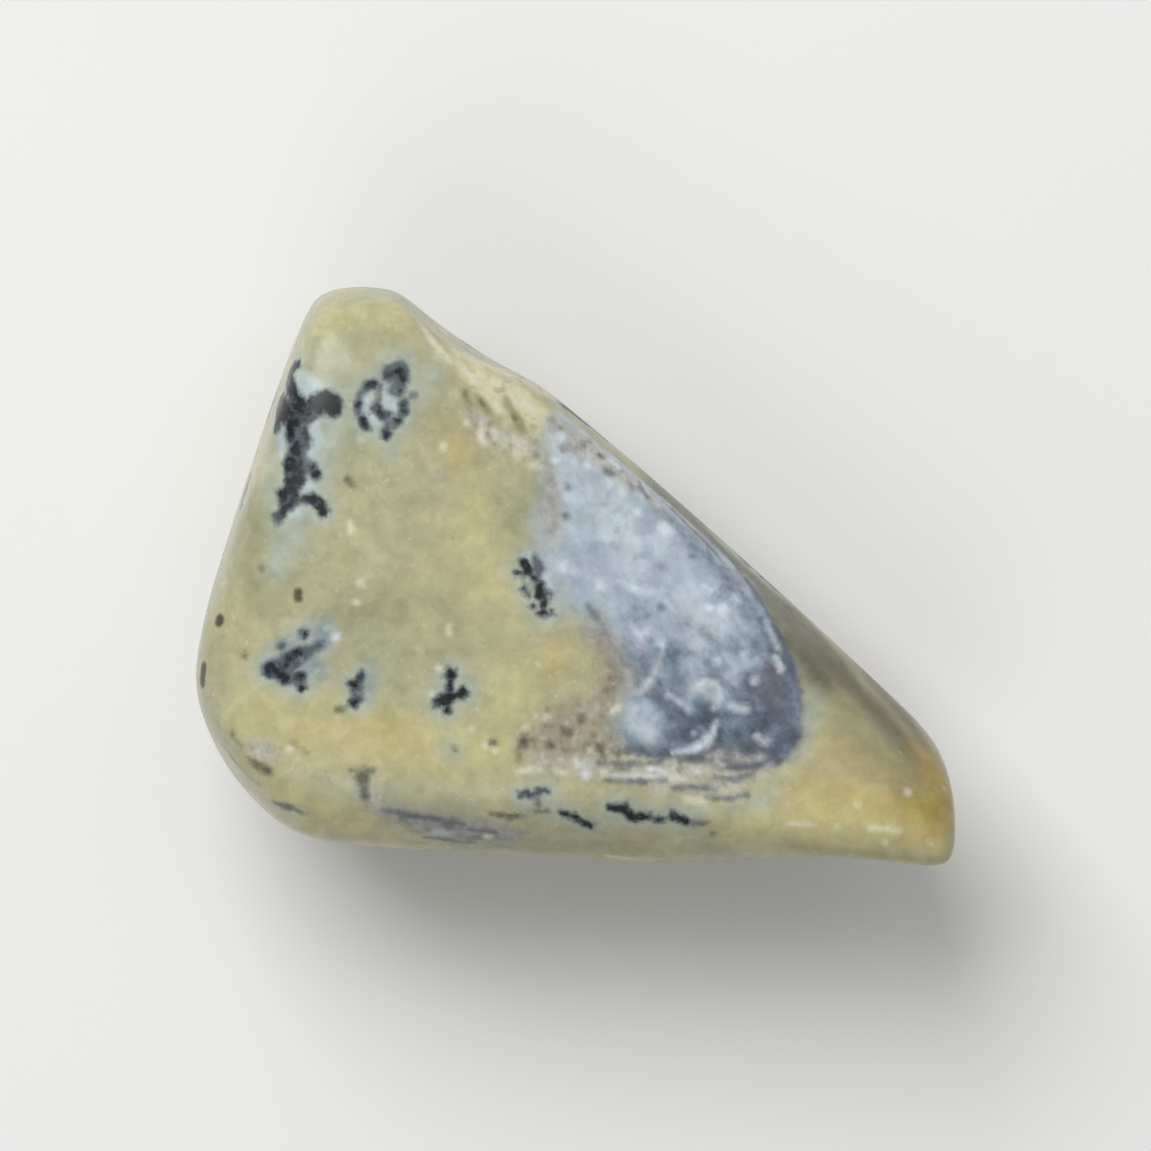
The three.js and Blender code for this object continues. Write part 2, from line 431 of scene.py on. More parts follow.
# The marks of each kind, first from above and then on the hidden sides
topMarks = {
    "ink": branchingDendrite + ringDendrite + leftClump + middleMarks + lowerFacetMarks,
    "goldenAndPaintedLight": [         # a warmer olive, and painted light on the knob and along the lower crests
        (-9.6, 10.3, 0.5, -7.4, 10.6, 0.6), (-4.2, 2.6, 0.6, -3.2, -0.6, 0.5),
        (-13.0, -5.4, 0.6, -9.4, -6.2, 0.9, -5.6, -7.1, 0.8, -3.0, -6.6, 0.6, -2.2, -4.2, 0.5),
        (5.4, -9.6, 0.3, 9.2, -9.7, 0.8, 13.2, -10.2, 0.9, 14.4, -10.5, 0.7),
        (-4.4, 8.4, 0.3, -1.8, 6.8, 0.5), (-12.4, -8.0, 0.3, -10.2, -9.3, 0.5, -8.6, -9.8, 0.2),
    ],
    "dullOliveAndPaintedShade": [          # a duller olive, darker towards the left edge, and painted shade on the lower facet, the long side and the pointed end
        (-13.6, 3.4, 0.6, -14.4, 0.0, 0.8, -14.6, -3.0, 0.5), (-12.8, 2.6, 0.8, -12.4, -0.6, 0.9),
        (-5.0, -10.9, 0.2, -2.0, -10.8, 0.5, 2.6, -10.9, 0.4),
        (9.8, -3.8, 0.9, 10.6, -5.4, 1.0, 11.6, -6.8, 1.1, 13.0, -7.8, 0.8),
        (11.6, -5.2, 0.8, 13.2, -7.1, 0.9), (-9.2, -1.4, 0.4, -7.2, -1.2, 0.5),
        (-5.0, -1.2, 0.2, -4.6, -2.9, 0.3), (8.6, -10.7, 0.05, 11.0, -10.9, 0.1, 13.4, -11.0, 0.05),
    ],
    "duskAndPaintedShade": [           # painted shade: the long side darkened to a grey-olive
        (2.2, 4.7, 0.4, 3.7, 3.1, 0.8, 5.4, 1.2, 1.0, 7.3, -0.9, 1.1, 8.9, -2.9, 1.0, 9.6, -4.0, 0.4),
        (3.3, 3.8, 0.8, 4.9, 2.2, 1.2, 6.4, 0.7, 1.4, 7.7, -0.6, 1.4, 8.9, -1.9, 1.3, 10.1, -3.2, 1.0),
        (10.2, -3.2, 0.6, 10.8, -3.9, 0.1),
    ],
    "umberAndPaintedShade": [          # painted shade: a brownish shadow along the long side that fades out at the pointed end
        (10.4, -3.7, 0.5, 11.4, -4.7, 0.5, 12.4, -5.7, 0.4, 13.4, -7.0, 0.1),
        (10.9, -3.1, 0.6, 12.0, -4.3, 0.6, 13.1, -5.5, 0.5, 13.9, -6.7, 0.2),
    ],
    "ochre": [(14.1, -7.3, 0.5, 14.5, -8.1, 0.9, 14.6, -8.8, 0.7), (13.5, -9.1, 0.1, 14.2, -9.3, 0.5)],
    "amber": [          # the warm yellow of the pointed end
        (9.4, -8.5, 0.5, 11.6, -8.8, 0.9, 14.0, -9.6, 0.8), (10.0, -6.6, 0.4, 12.2, -7.6, 0.8),
        (-7.9, -5.5, 0.1, -7.2, -6.2, 0.2), (-0.9, -3.4, 0.2), (-4.8, 5.1, 0.1, -4.6, 4.8, 0.05),
    ],
    "haze": [           # blue-grey smoke under the dendrites
        (-12.0, -3.4, 0.45, -11.2, -2.9, 0.5, -10.4, -2.6, 0.5, -9.95, -2.2, 0.35),
        (-10.7, -3.5, 0.4, -10.35, -3.6, 0.35), (-8.25, -4.0, 0.14, -8.35, -4.8, 0.16),
        (-10.6, 5.6, 0.15, -10.55, 4.9, 0.2), (-11.7, 5.7, 0.1, -11.65, 5.2, 0.12), (-10.4, 3.8, 0.15),
    ],
    "halo": [           # pale bluish haze in the stone round the dendrites
        (-11.2, 7.7, 0.4, -10.4, 7.1, 0.5, -9.9, 5.6, 0.7, -10.1, 3.8, 0.5, -11.3, 1.6, 0.6),
        (-12.1, 5.2, 0.25, -12.1, 3.2, 0.3), (-11.6, 1.0, 0.5, -11.9, 0.4, 0.5),
        (-7.6, 6.7, 1.3, -7.0, 8.2, 0.9), (-6.0, 7.4, 0.6, -5.4, 8.6, 0.3), (-7.4, 4.9, 0.3),
        (-12.1, -3.8, 0.5, -10.0, -2.5, 0.6), (-11.2, -4.5, 0.3, -10.1, -3.8, 0.5),
        (-8.4, -3.9, 0.4, -8.4, -5.0, 0.3), (-5.4, -4.4, 0.3, -4.4, -4.4, 0.3),
        (-1.5, 0.3, 0.5, -0.9, -0.6, 0.5, -0.9, -1.5, 0.3), (-8.6, -8.1, 0.3, -8.2, -8.7, 0.15),
        (-12.0, -9.2, 0.15, -10.9, -9.4, 0.2), (-1.9, -9.1, 0.35, -0.8, -9.0, 0.3, -1.2, -9.6, 0.2),
        (1.2, -9.6, 0.15, 3.3, -9.3, 0.2, 5.2, -9.3, 0.25), (-4.9, -6.9, 0.35),
        (6.2, -9.2, 0.2, 7.6, -8.9, 0.25), (9.4, -4.8, 0.15, 9.35, -6.0, 0.25, 9.0, -6.9, 0.2),
    ],
    "mauve": [
        (-2.0, -6.6, 0.3, -0.3, -6.2, 0.9, 1.1, -5.2, 0.5, 1.5, -3.6, 0.3, 0.8, -2.4, 0.15),
        (-0.8, -7.1, 0.4, 1.2, -6.7, 0.5), (-1.0, 4.2, 0.15, -0.9, 2.6, 0.3, -0.9, 1.5, 0.15),
        (0.9, -1.6, 0.1, 1.5, -2.8, 0.2, 1.8, -4.2, 0.25),
    ],
    "seam": [           # rough cream veins
        (-4.5, 8.2, 0.2, -3.6, 7.6, 0.6, -2.2, 6.9, 0.75, -1.5, 6.3, 0.5),
        (-3.7, 5.6, 0.1, -2.6, 5.1, 0.2, -1.6, 4.5, 0.1),
    ],
    "chalk": [          # dirty white, rough and speckled
        (-0.9, 6.0, 0.4, -0.2, 5.6, 0.6, 0.9, 4.9, 0.7, 2.0, 3.9, 0.5, 3.4, 2.8, 0.2),
        (-4.1, 6.5, 0.25, -3.6, 5.7, 0.4, -2.9, 5.4, 0.35, -1.9, 5.2, 0.3),
        (-12.7, -6.9, 0.35, -12.1, -7.05, 0.35),
        (-1.6, -7.35, 0.2, 0.2, -7.5, 0.35, 1.6, -7.6, 0.35, 3.2, -7.7, 0.45, 4.9, -7.85, 0.45),
        (5.4, -7.2, 0.25, 7.4, -7.3, 0.2), (5.6, -8.1, 0.4, 7.0, -7.85, 0.3, 8.1, -7.4, 0.06),
        (3.0, -8.3, 0.2, 6.4, -8.6, 0.25),
    ],
    "lavender": [
        (-8.0, -9.2, 0.15, -6.4, -9.7, 0.5, -4.8, -10.1, 0.75, -3.1, -10.3, 0.55, -2.2, -10.3, 0.2),
    ],
    "groove": [         # olive-brown lines in the veins and along the lower left edge
        (-4.4, 7.3, 0.08, -4.2, 6.9, 0.11), (-3.9, 7.1, 0.09, -3.6, 6.8, 0.12, -3.45, 6.5, 0.12),
        (-2.75, 7.0, 0.11, -2.5, 6.5, 0.13, -2.3, 6.2, 0.19, -2.1, 5.8, 0.11),
        (-14.3, -6.4, 0.08, -13.8, -7.1, 0.13, -13.1, -7.9, 0.11, -12.6, -8.3, 0.07),
        (-13.7, -6.2, 0.06, -13.3, -6.8, 0.1), (-11.2, -6.6, 0.04, -10.6, -7.0, 0.04),
        (1.5, -7.68, 0.06, 2.1, -7.74, 0.07), (2.65, -8.2, 0.14),
    ],
    "milk": [           # milky clouds in the clear part of a window
        (2.4, -5.6, 0.5, 2.9, -6.1, 0.6), (4.2, -0.8, 0.7, 5.8, -1.9, 0.6), (1.4, 2.6, 0.8, 2.4, 0.4, 0.6),
        (4.8, -4.4, 0.2, 5.5, -4.8, 0.2), (3.4, 1.4, 0.6), (4.8, -2.6, 0.5),
    ],
    "darkMottle": [
        (7.3, -1.6, 0.04, 7.9, -2.6, 0.12, 8.3, -3.7, 0.22, 8.7, -5.0, 0.3, 8.5, -6.4, 0.3),
        (6.9, -4.4, 0.3, 7.4, -5.6, 0.6, 7.9, -6.6, 0.5), (4.0, -6.3, 0.2, 4.6, -6.0, 0.35, 5.1, -5.5, 0.2),
        (5.7, -5.6, 0.15, 6.3, -6.2, 0.35, 6.8, -6.9, 0.3), (5.3, -7.1, 0.12, 5.9, -7.2, 0.12),
        (3.4, -7.0, 0.2, 4.6, -7.25, 0.1), (1.4, -5.9, 0.15, 1.5, -6.9, 0.2, 2.6, -7.0, 0.15),
        (2.6, -3.4, 0.1, 3.4, -4.4, 0.25, 4.2, -5.6, 0.2), (3.2, 2.9, 0.02, 4.7, 1.3, 0.1, 6.0, 0.0, 0.08),
    ],
    "dimSpot": [        # small soft dark spots
        (-9.0, 3.8, 0.12), (-12.45, 0.3, 0.1), (-13.15, -3.15, 0.16), (-9.37, -5.3, 0.15),
        (-4.8, -6.9, 0.12), (-1.0, -6.72, 0.17), (0.92, -6.75, 0.12, 1.1, -7.2, 0.1), (-2.05, -6.6, 0.22),
        (-2.25, -7.2, 0.1), (-3.25, -6.6, 0.12), (1.62, -7.0, 0.15), (2.1, -7.0, 0.14), (2.65, -6.9, 0.1),
        (3.2, -7.15, 0.12, 3.6, -7.05, 0.12), (-8.4, -8.1, 0.14, -8.35, -8.8, 0.13), (3.3, -9.7, 0.15),
        (5.42, -10.25, 0.08), (-8.45, -7.98, 0.3), (-8.9, -7.75, 0.08, -8.15, -7.7, 0.12),
        (-13.0, -7.3, 0.1, -12.3, -7.7, 0.26), (-12.0, -9.0, 0.1, -11.3, -9.25, 0.18, -10.7, -9.45, 0.08),
        (-3.3, -9.48, 0.08, -2.7, -9.55, 0.17, -2.1, -9.52, 0.08), (-1.5, -8.85, 0.1, -1.45, -9.15, 0.1),
        (-1.5, -9.36, 0.1, -1.15, -9.35, 0.09), (0.27, 5.25, 0.16), (1.0, 4.8, 0.14), (-0.5, 5.1, 0.1),
        (-0.55, 5.9, 0.09), (-3.42, 5.62, 0.11), (-1.6, 4.8, 0.12), (8.05, -7.4, 0.15), (-8.85, 3.6, 0.08),
    ],
    "darkSpot": [       # small sharp ones, brown-black
        (-11.0, -0.64, 0.14, -11.0, -0.94, 0.13), (-14.15, -1.78, 0.24),
        (-14.8, -3.65, 0.22, -14.85, -4.25, 0.22),
    ],
    "slateSpot": [      # dark spots in the clear parts
        (1.2, 4.22, 0.13, 1.45, 4.02, 0.1), (-0.3, 3.5, 0.1), (-0.38, 2.35, 0.12), (4.3, -6.2, 0.16),
        (4.65, 0.78, 0.1), (3.4, -1.25, 0.12), (5.33, -2.5, 0.13), (6.8, -3.9, 0.1), (6.7, -6.9, 0.22),
        (0.5, -1.2, 0.1, 0.85, -1.7, 0.1), (8.1, -6.6, 0.15), (7.5, -4.6, 0.1, 7.7, -5.3, 0.12),
        (6.0, -5.6, 0.12), (3.75, -5.6, 0.1), (8.3, -4.4, 0.1, 8.5, -5.2, 0.12),
    ],
    "darkLine": [       # thin slate lines beside the windows' rims
        (2.55, 3.75, 0.04, 2.65, 3.45, 0.1, 2.85, 3.15, 0.07),
        (3.5, 3.0, 0.04, 4.1, 2.4, 0.07, 4.8, 1.7, 0.05, 5.5, 1.0, 0.08, 5.9, 0.5, 0.05),
        (4.1, -7.32, 0.05, 4.6, -7.3, 0.09, 5.0, -7.2, 0.04),
        (0.9, -7.4, 0.05, 2.2, -7.45, 0.09, 3.4, -7.4, 0.05),
        (6.0, -7.62, 0.05, 7.0, -7.62, 0.09, 7.9, -7.2, 0.06),
        (1.2, -8.1, 0.04, 2.6, -8.15, 0.07, 3.6, -8.1, 0.04),
        (3.9, -8.42, 0.06, 4.5, -8.36, 0.1, 5.0, -8.42, 0.09, 5.5, -8.46, 0.05),
        (5.5, -8.0, 0.04, 6.3, -8.08, 0.07, 7.0, -7.85, 0.05),
        (5.2, -8.82, 0.05, 6.0, -8.85, 0.08, 6.8, -8.68, 0.07), (4.6, -9.82, 0.08, 5.25, -9.82, 0.07),
        (-7.6, -9.3, 0.04, -6.6, -9.5, 0.09, -5.4, -9.7, 0.1, -4.4, -9.9, 0.04),
        (8.0, -3.6, 0.08, 8.1, -4.6, 0.1), (-6.0, -10.4, 0.03, -5.2, -10.5, 0.08, -4.0, -10.65, 0.04),
        (-4.6, -10.05, 0.02, -3.2, -10.2, 0.05),
        (3.3, 3.6, 0.05, 4.7, 2.3, 0.1, 6.1, 0.8, 0.1, 7.3, -0.9, 0.1, 8.3, -2.8, 0.12, 8.9, -4.6, 0.1),
    ],
    "veil": [           # faint milky threads and loops
        (5.15, -0.4, 0.1, 5.4, -0.6, 0.1),
        (1.75, -0.2, 0.06, 2.3, -0.5, 0.13, 2.95, -0.62, 0.15, 3.4, -0.6, 0.05), (-0.5, 0.35, 0.16),
        (-0.05, 0.18, 0.16), (0.95, -0.4, 0.18), (2.2, -2.0, 0.05, 2.58, -2.4, 0.1, 2.9, -2.1, 0.07),
        (3.35, -3.1, 0.06, 3.2, -3.8, 0.12, 2.95, -4.15, 0.08, 2.6, -4.6, 0.14), (3.4, -2.7, 0.12),
        (2.45, 1.35, 0.12), (3.7, -4.7, 0.05, 4.1, -5.0, 0.1, 4.5, -5.3, 0.08),
        (6.2, -5.2, 0.08, 6.7, -5.28, 0.17),
        (4.7, -4.5, 0.05, 5.1, -4.2, 0.08, 5.6, -4.3, 0.09, 5.75, -4.8, 0.07, 5.5, -5.3, 0.04),
        (7.2, -6.4, 0.08, 7.5, -6.6, 0.1), (4.0, 2.45, 0.06, 4.6, 1.85, 0.07), (1.85, 3.25, 0.1),
        (2.5, 2.5, 0.13), (6.7, -3.2, 0.12), (7.1, -4.2, 0.12), (5.6, -3.4, 0.13), (1.4, 3.7, 0.12),
        (6.4, -1.0, 0.12), (0.0, 4.5, 0.1), (7.6, -1.9, 0.04, 8.1, -2.9, 0.06),
        (1.6, -7.95, 0.04, 3.0, -7.95, 0.07, 4.2, -8.05, 0.04),
    ],
    # white flecks and curls, with painted glints in the window and a painted crescent highlight at its lower
    # end
    "whiteFleckAndGlint": [
        (3.52, 1.88, 0.25, 3.72, 1.8, 0.25), (5.85, -1.4, 0.2), (5.32, -1.28, 0.17),
        (7.98, -3.25, 0.07, 8.15, -3.7, 0.12),
        (3.85, -7.0, 0.04, 4.6, -6.92, 0.12, 5.08, -6.68, 0.19, 5.42, -6.3, 0.14, 5.6, -5.8, 0.05),
        (1.65, 4.4, 0.18), (-0.55, 5.5, 0.15), (0.4, 4.4, 0.13), (-0.8, 4.6, 0.15), (-9.5, -2.42, 0.14),
        (5.6, -7.35, 0.06, 5.8, -7.5, 0.07), (0.38, -7.87, 0.19), (3.0, -7.68, 0.1, 3.4, -7.76, 0.08),
        (4.85, -7.75, 0.1),
    ],
    "paleCore": [       # bluish white between the branches of the dendrites
        (-11.0, 7.9, 0.15, -10.85, 7.4, 0.22, -10.65, 7.0, 0.14), (-10.6, 7.8, 0.15, -10.3, 7.5, 0.2),
        (-10.55, 3.5, 0.18), (-10.5, 4.85, 0.2), (-10.3, 5.9, 0.12, -10.2, 5.3, 0.22),
        (-11.7, 5.5, 0.1, -11.65, 4.8, 0.12), (-11.1, 2.5, 0.18),
        (-8.3, 7.1, 0.16, -8.35, 6.5, 0.15, -8.05, 6.1, 0.14, -7.8, 6.0, 0.1),
        (-7.55, 7.3, 0.17, -7.4, 6.8, 0.15, -7.15, 6.5, 0.14), (-11.2, -4.5, 0.08), (-1.9, 0.75, 0.13),
        (-1.2, -0.1, 0.13, -1.0, -0.8, 0.15), (-5.6, -10.2, 0.12, -5.0, -10.25, 0.1),
    ],
    # cream flecks and veins, with painted highlights along the crests of the lower facet
    "creamFleckAndHighlight": [
        (-6.2, 10.1, 0.1, -5.95, 9.75, 0.15, -5.7, 9.35, 0.18, -5.35, 8.95, 0.14, -5.0, 8.5, 0.17),
        (-3.75, 5.85, 0.1, -3.78, 5.55, 0.17, -3.62, 5.28, 0.12), (-3.3, 5.75, 0.1, -3.15, 5.45, 0.12),
        (-2.45, 5.6, 0.1, -2.3, 5.25, 0.14), (-2.8, 6.0, 0.12), (-1.5, 5.6, 0.13), (-4.3, 6.1, 0.1),
        (-4.4, 8.25, 0.2), (-5.45, 8.7, 0.13), (-3.75, 7.6, 0.2), (-3.3, 7.0, 0.13, -2.95, 6.55, 0.17),
        (-2.6, 7.5, 0.13), (-2.15, 7.1, 0.17, -1.8, 6.7, 0.25), (-1.2, 6.35, 0.15), (-2.9, 5.15, 0.1),
        (-2.3, 4.75, 0.17), (-1.9, 4.42, 0.07, -1.4, 4.32, 0.09), (-4.8, 7.2, 0.13),
        (-8.9, 2.1, 0.1, -8.84, 1.75, 0.13), (-5.24, 5.12, 0.16), (-8.5, -0.33, 0.15), (-8.68, -1.07, 0.11),
        (-11.35, -6.9, 0.13), (1.5, -5.35, 0.08, 1.72, -5.2, 0.12), (-0.75, -7.68, 0.12, -0.4, -7.82, 0.07),
        (-2.3, -7.75, 0.07, -1.8, -7.7, 0.1), (-1.45, -7.67, 0.15), (0.0, -7.3, 0.1), (1.1, -7.8, 0.08),
        (-1.95, -6.0, 0.1), (0.55, -6.9, 0.1), (-1.2, -5.6, 0.1), (13.2, -8.6, 0.14), (-3.2, -6.95, 0.11),
        (11.2, -9.1, 0.1), (-5.0, -2.0, 0.08, -5.0, -2.25, 0.1), (-5.4, -3.7, 0.13), (-5.7, -4.7, 0.1),
        (1.3, -11.15, 0.05, 2.4, -11.3, 0.06), (8.4, -9.82, 0.02, 9.4, -9.88, 0.07),
        (11.7, -10.0, 0.08, 12.9, -10.15, 0.05), (12.3, -10.6, 0.1), (10.4, -9.95, 0.06),
        (14.1, -10.6, 0.08), (-3.5, -10.4, 0.13), (4.4, -8.85, 0.1, 5.0, -8.95, 0.12), (-4.1, -6.1, 0.11),
        (-3.6, -6.7, 0.08),
    ],
    "brownFleck": [
        (-0.5, -6.1, 0.08, -0.28, -6.22, 0.18), (0.25, -5.65, 0.14), (0.7, -6.35, 0.1), (-1.1, -5.3, 0.06),
    ],
    "softInk": [        # slate-blue parts of the dendrites
        (-11.15, 5.6, 0.42, -11.0, 5.1, 0.38, -11.12, 4.3, 0.4), (-11.2, 3.9, 0.3, -11.3, 2.9, 0.3),
        (-10.62, 4.55, 0.1, -10.42, 4.25, 0.22, -10.28, 3.98, 0.16), (-11.86, 2.12, 0.1),
        (-7.35, 8.02, 0.34, -6.98, 8.15, 0.38, -6.9, 7.8, 0.3, -6.95, 7.3, 0.18),
        (-7.95, 7.64, 0.12, -8.3, 7.5, 0.13, -8.53, 7.1, 0.09, -8.6, 6.65, 0.11, -8.47, 6.15, 0.11,
         -8.2, 5.85, 0.11),
        (-6.82, 6.9, 0.12, -6.82, 6.5, 0.12, -7.0, 6.12, 0.1, -7.25, 5.85, 0.05),
        (-7.78, 7.5, 0.08, -7.8, 7.0, 0.08, -7.95, 6.65, 0.13, -7.6, 6.4, 0.18, -7.4, 6.1, 0.12,
         -7.5, 5.6, 0.15),
        (-12.05, -3.7, 0.34, -11.5, -3.6, 0.42, -11.0, -3.15, 0.32, -10.6, -2.95, 0.22),
        (-10.3, -2.85, 0.17, -10.0, -2.72, 0.17), (-11.65, -2.78, 0.11),
        (-11.6, -4.1, 0.2, -10.9, -4.05, 0.22), (-8.45, -3.85, 0.12, -8.6, -4.4, 0.19, -8.72, -5.05, 0.17),
        (-4.95, -4.0, 0.1, -5.0, -4.7, 0.14), (-1.6, 0.7, 0.15, -1.45, 0.3, 0.2, -1.5, -0.1, 0.12),
        (-6.42, 7.15, 0.12), (-7.2, 7.3, 0.2, -7.1, 7.2, 0.1),
    ],
}

hiddenMarks = {
    "under": {
        "goldenAndPaintedLight": [(-11.0, -5.0, 1.0, -6.0, -7.6, 1.2), (2.0, 7.0, 0.8, 6.0, 2.0, 1.0)],
        "dullOliveAndPaintedShade": [(-4.0, 8.0, 0.8, 0.0, 6.0, 0.9), (4.0, -2.0, 1.0, 8.0, 0.0, 1.0)],
        "duskAndPaintedShade": [(3.0, 6.6, 1.2, 7.6, 6.0, 1.4)],
        "ochre": [(10.5, 6.5, 1.2, 7.5, 4.5, 0.8), (-7.5, 1.0, 0.3, -5.2, 2.4, 0.6)],
        "halo": [(-8.0, -4.0, 1.2, -4.0, -5.4, 1.0), (4.6, 3.6, 0.9, 2.6, 2.0, 0.9), (2.8, -3.0, 0.9)],
        "mauve": [(-1.0, -6.8, 0.7, 2.4, -6.2, 0.8), (-2.2, 3.4, 0.3, 0.4, 0.8, 0.3)],
        "seam": [(-10.6, 5.2, 0.4, -6.8, 6.8, 0.9, -2.0, 7.0, 0.6, 2.0, 5.6, 0.3)],
        "chalk": [(-7.4, 6.6, 0.7), (-1.0, -3.0, 0.2, 0.8, 0.0, 0.25)],
        "lavender": [(6.0, 1.0, 0.5, 9.0, 3.0, 0.7)],
        "groove": [(-8.6, 6.4, 0.08, -4.4, 6.8, 0.1), (-9.6, 4.9, 0.05, -7.0, 5.9, 0.08)],
        "milk": [(-3.2, -0.6, 0.7), (-6.4, -1.6, 0.5, -4.8, 1.2, 0.6)],
        "darkMottle": [(-8.4, 1.0, 0.4), (-7.2, 2.6, 0.35), (-5.6, 3.4, 0.3), (-9.2, 0.2, 0.3)],
        "dimSpot": [(-6.0, 0.4, 0.2), (-4.2, 2.2, 0.15), (3.6, 6.2, 0.2), (8.2, 5.2, 0.15)],
        "darkSpot": [(4.8, -5.4, 0.14, 5.0, -5.6, 0.12)],
        "slateSpot": [(-6.0, 0.4, 0.2), (-4.2, 2.2, 0.15)],
        "darkLine": [(-10.2, 0.4, 0.08, -8.2, 3.2, 0.1, -5.0, 4.6, 0.07)],
        "whiteFleckAndGlint": [(-6.6, -1.4, 0.14, -4.8, 0.2, 0.12), (-3.4, 1.8, 0.16), (-7.6, 1.6, 0.14)],
        "creamFleckAndHighlight": [(8.0, -1.0, 0.15), (-11.0, -2.0, 0.15), (-9.8, 5.6, 0.1, -7.4, 6.9, 0.14)],
        "brownFleck": [(0.6, -6.6, 0.18), (1.8, -6.0, 0.12)],
    },
    "longWall": {
        "goldenAndPaintedLight": [(-9.0, 2.0, 0.9, -3.0, 3.4, 0.9)],
        "dullOliveAndPaintedShade": [(3.0, -3.0, 1.2, 9.0, -4.0, 1.2)],
        "duskAndPaintedShade": [(-7.0, -0.6, 1.4, -2.0, -2.0, 2.2, 3.0, -2.6, 1.2)],
        "ochre": [(-11.6, -3.4, 1.0), (7.0, -4.0, 0.7)],
        "halo": [(8.0, -1.2, 0.9, 5.8, -2.0, 0.9), (-5.6, 1.0, 0.8, -3.4, 1.4, 0.8)],
        "mauve": [(-3.0, -3.4, 0.7, 0.6, -4.2, 0.8), (6.8, 0.4, 0.5, 9.2, 1.0, 0.4)],
        "seam": [
            (9.4, 4.6, 0.3, 7.6, 3.6, 0.5, 4.4, 1.6, 0.4, 1.6, -0.6, 0.5, -2.6, -2.8, 0.3),
            (10.8, 0.6, 0.1, 9.2, -2.4, 0.2),
        ],
        "chalk": [(7.4, 2.6, 0.4, 4.4, 1.0, 0.5)],
        "groove": [(7.6, 3.4, 0.06, 5.2, 1.6, 0.1), (3.2, 0.2, 0.05, 0.8, -1.4, 0.08)],
        "dimSpot": [(-7.0, 2.2, 0.15), (0.6, 1.4, 0.2), (9.6, -2.6, 0.2), (5.6, -5.0, 0.15)],
        "whiteFleckAndGlint": [(6.8, 1.8, 0.15), (4.2, 0.4, 0.2), (-4.8, 1.2, 0.15)],
        "creamFleckAndHighlight": [(8.8, 4.2, 0.1, 6.4, 2.9, 0.14), (-8.4, -0.4, 0.14), (2.0, -4.2, 0.12)],
        "brownFleck": [(-1.8, -3.6, 0.16), (-0.4, -4.2, 0.12)],
    },
    "front": {
        "goldenAndPaintedLight": [(-8.0, -3.0, 0.8, -2.0, -3.6, 0.9)],
        "dullOliveAndPaintedShade": [(2.0, -4.6, 0.9, 9.0, -4.0, 0.9)],
        "umberAndPaintedShade": [(12.6, -4.6, 0.3, 14.0, -4.2, 0.3)],
        "ochre": [(-6.4, -3.8, 0.5, -3.8, -4.6, 0.7), (13.6, -3.0, 1.2)],
        "amber": [(10.4, -1.0, 0.8, 13.6, -0.6, 0.8)],
        "halo": [(-9.0, -2.0, 0.7, -7.4, -1.8, 0.7), (-0.8, -1.4, 0.7, 0.8, -1.8, 0.7)],
        "mauve": [(3.0, -3.8, 0.4, 6.4, -3.4, 0.5)],
        "seam": [(-13.4, -1.4, 0.15, -11.0, -4.0, 0.25, -8.6, -5.2, 0.2)],
        "lavender": [(1.0, -1.4, 0.3, 4.4, -1.8, 0.5, 7.4, -1.2, 0.3)],
        "dimSpot": [(-12.2, -3.0, 0.2), (-6.0, -1.2, 0.15), (4.0, -3.2, 0.15), (8.8, -2.6, 0.2)],
        "creamFleckAndHighlight": [(-3.4, -2.4, 0.14), (9.6, -1.0, 0.12), (-12.6, -2.6, 0.08, -11.2, -4.0, 0.12)],
    },
    "left": {
        "goldenAndPaintedLight": [(-2.0, 0.0, 1.0, 2.0, -4.0, 1.0)],
        "dullOliveAndPaintedShade": [(4.0, 1.0, 0.9, 8.0, -2.0, 0.9)],
        "ochre": [(-2.6, -4.4, 0.7), (7.6, 2.0, 0.5)],
        "halo": [(-5.4, -0.8, 0.8, -3.6, 0.2, 0.8), (2.2, -2.6, 0.8, 4.0, -3.0, 0.8)],
        "seam": [(7.6, -3.0, 0.3, 9.2, -0.6, 0.4), (-8.4, 1.6, 0.15, -6.4, 2.6, 0.2)],
        "dimSpot": [(-3.0, 1.6, 0.15), (3.2, 1.4, 0.2), (6.0, -3.8, 0.15)],
        "darkSpot": [(-4.2, 3.0, 0.15)],
        "creamFleckAndHighlight": [(-7.4, 0.0, 0.13), (0.6, -0.6, 0.15), (8.2, -1.6, 0.14)],
    },
}

markSides = {"top": topMarks}
for side, grown in grownStems(hiddenGrowth).items():
    markSides[side] = {**hiddenMarks[side], **grown}

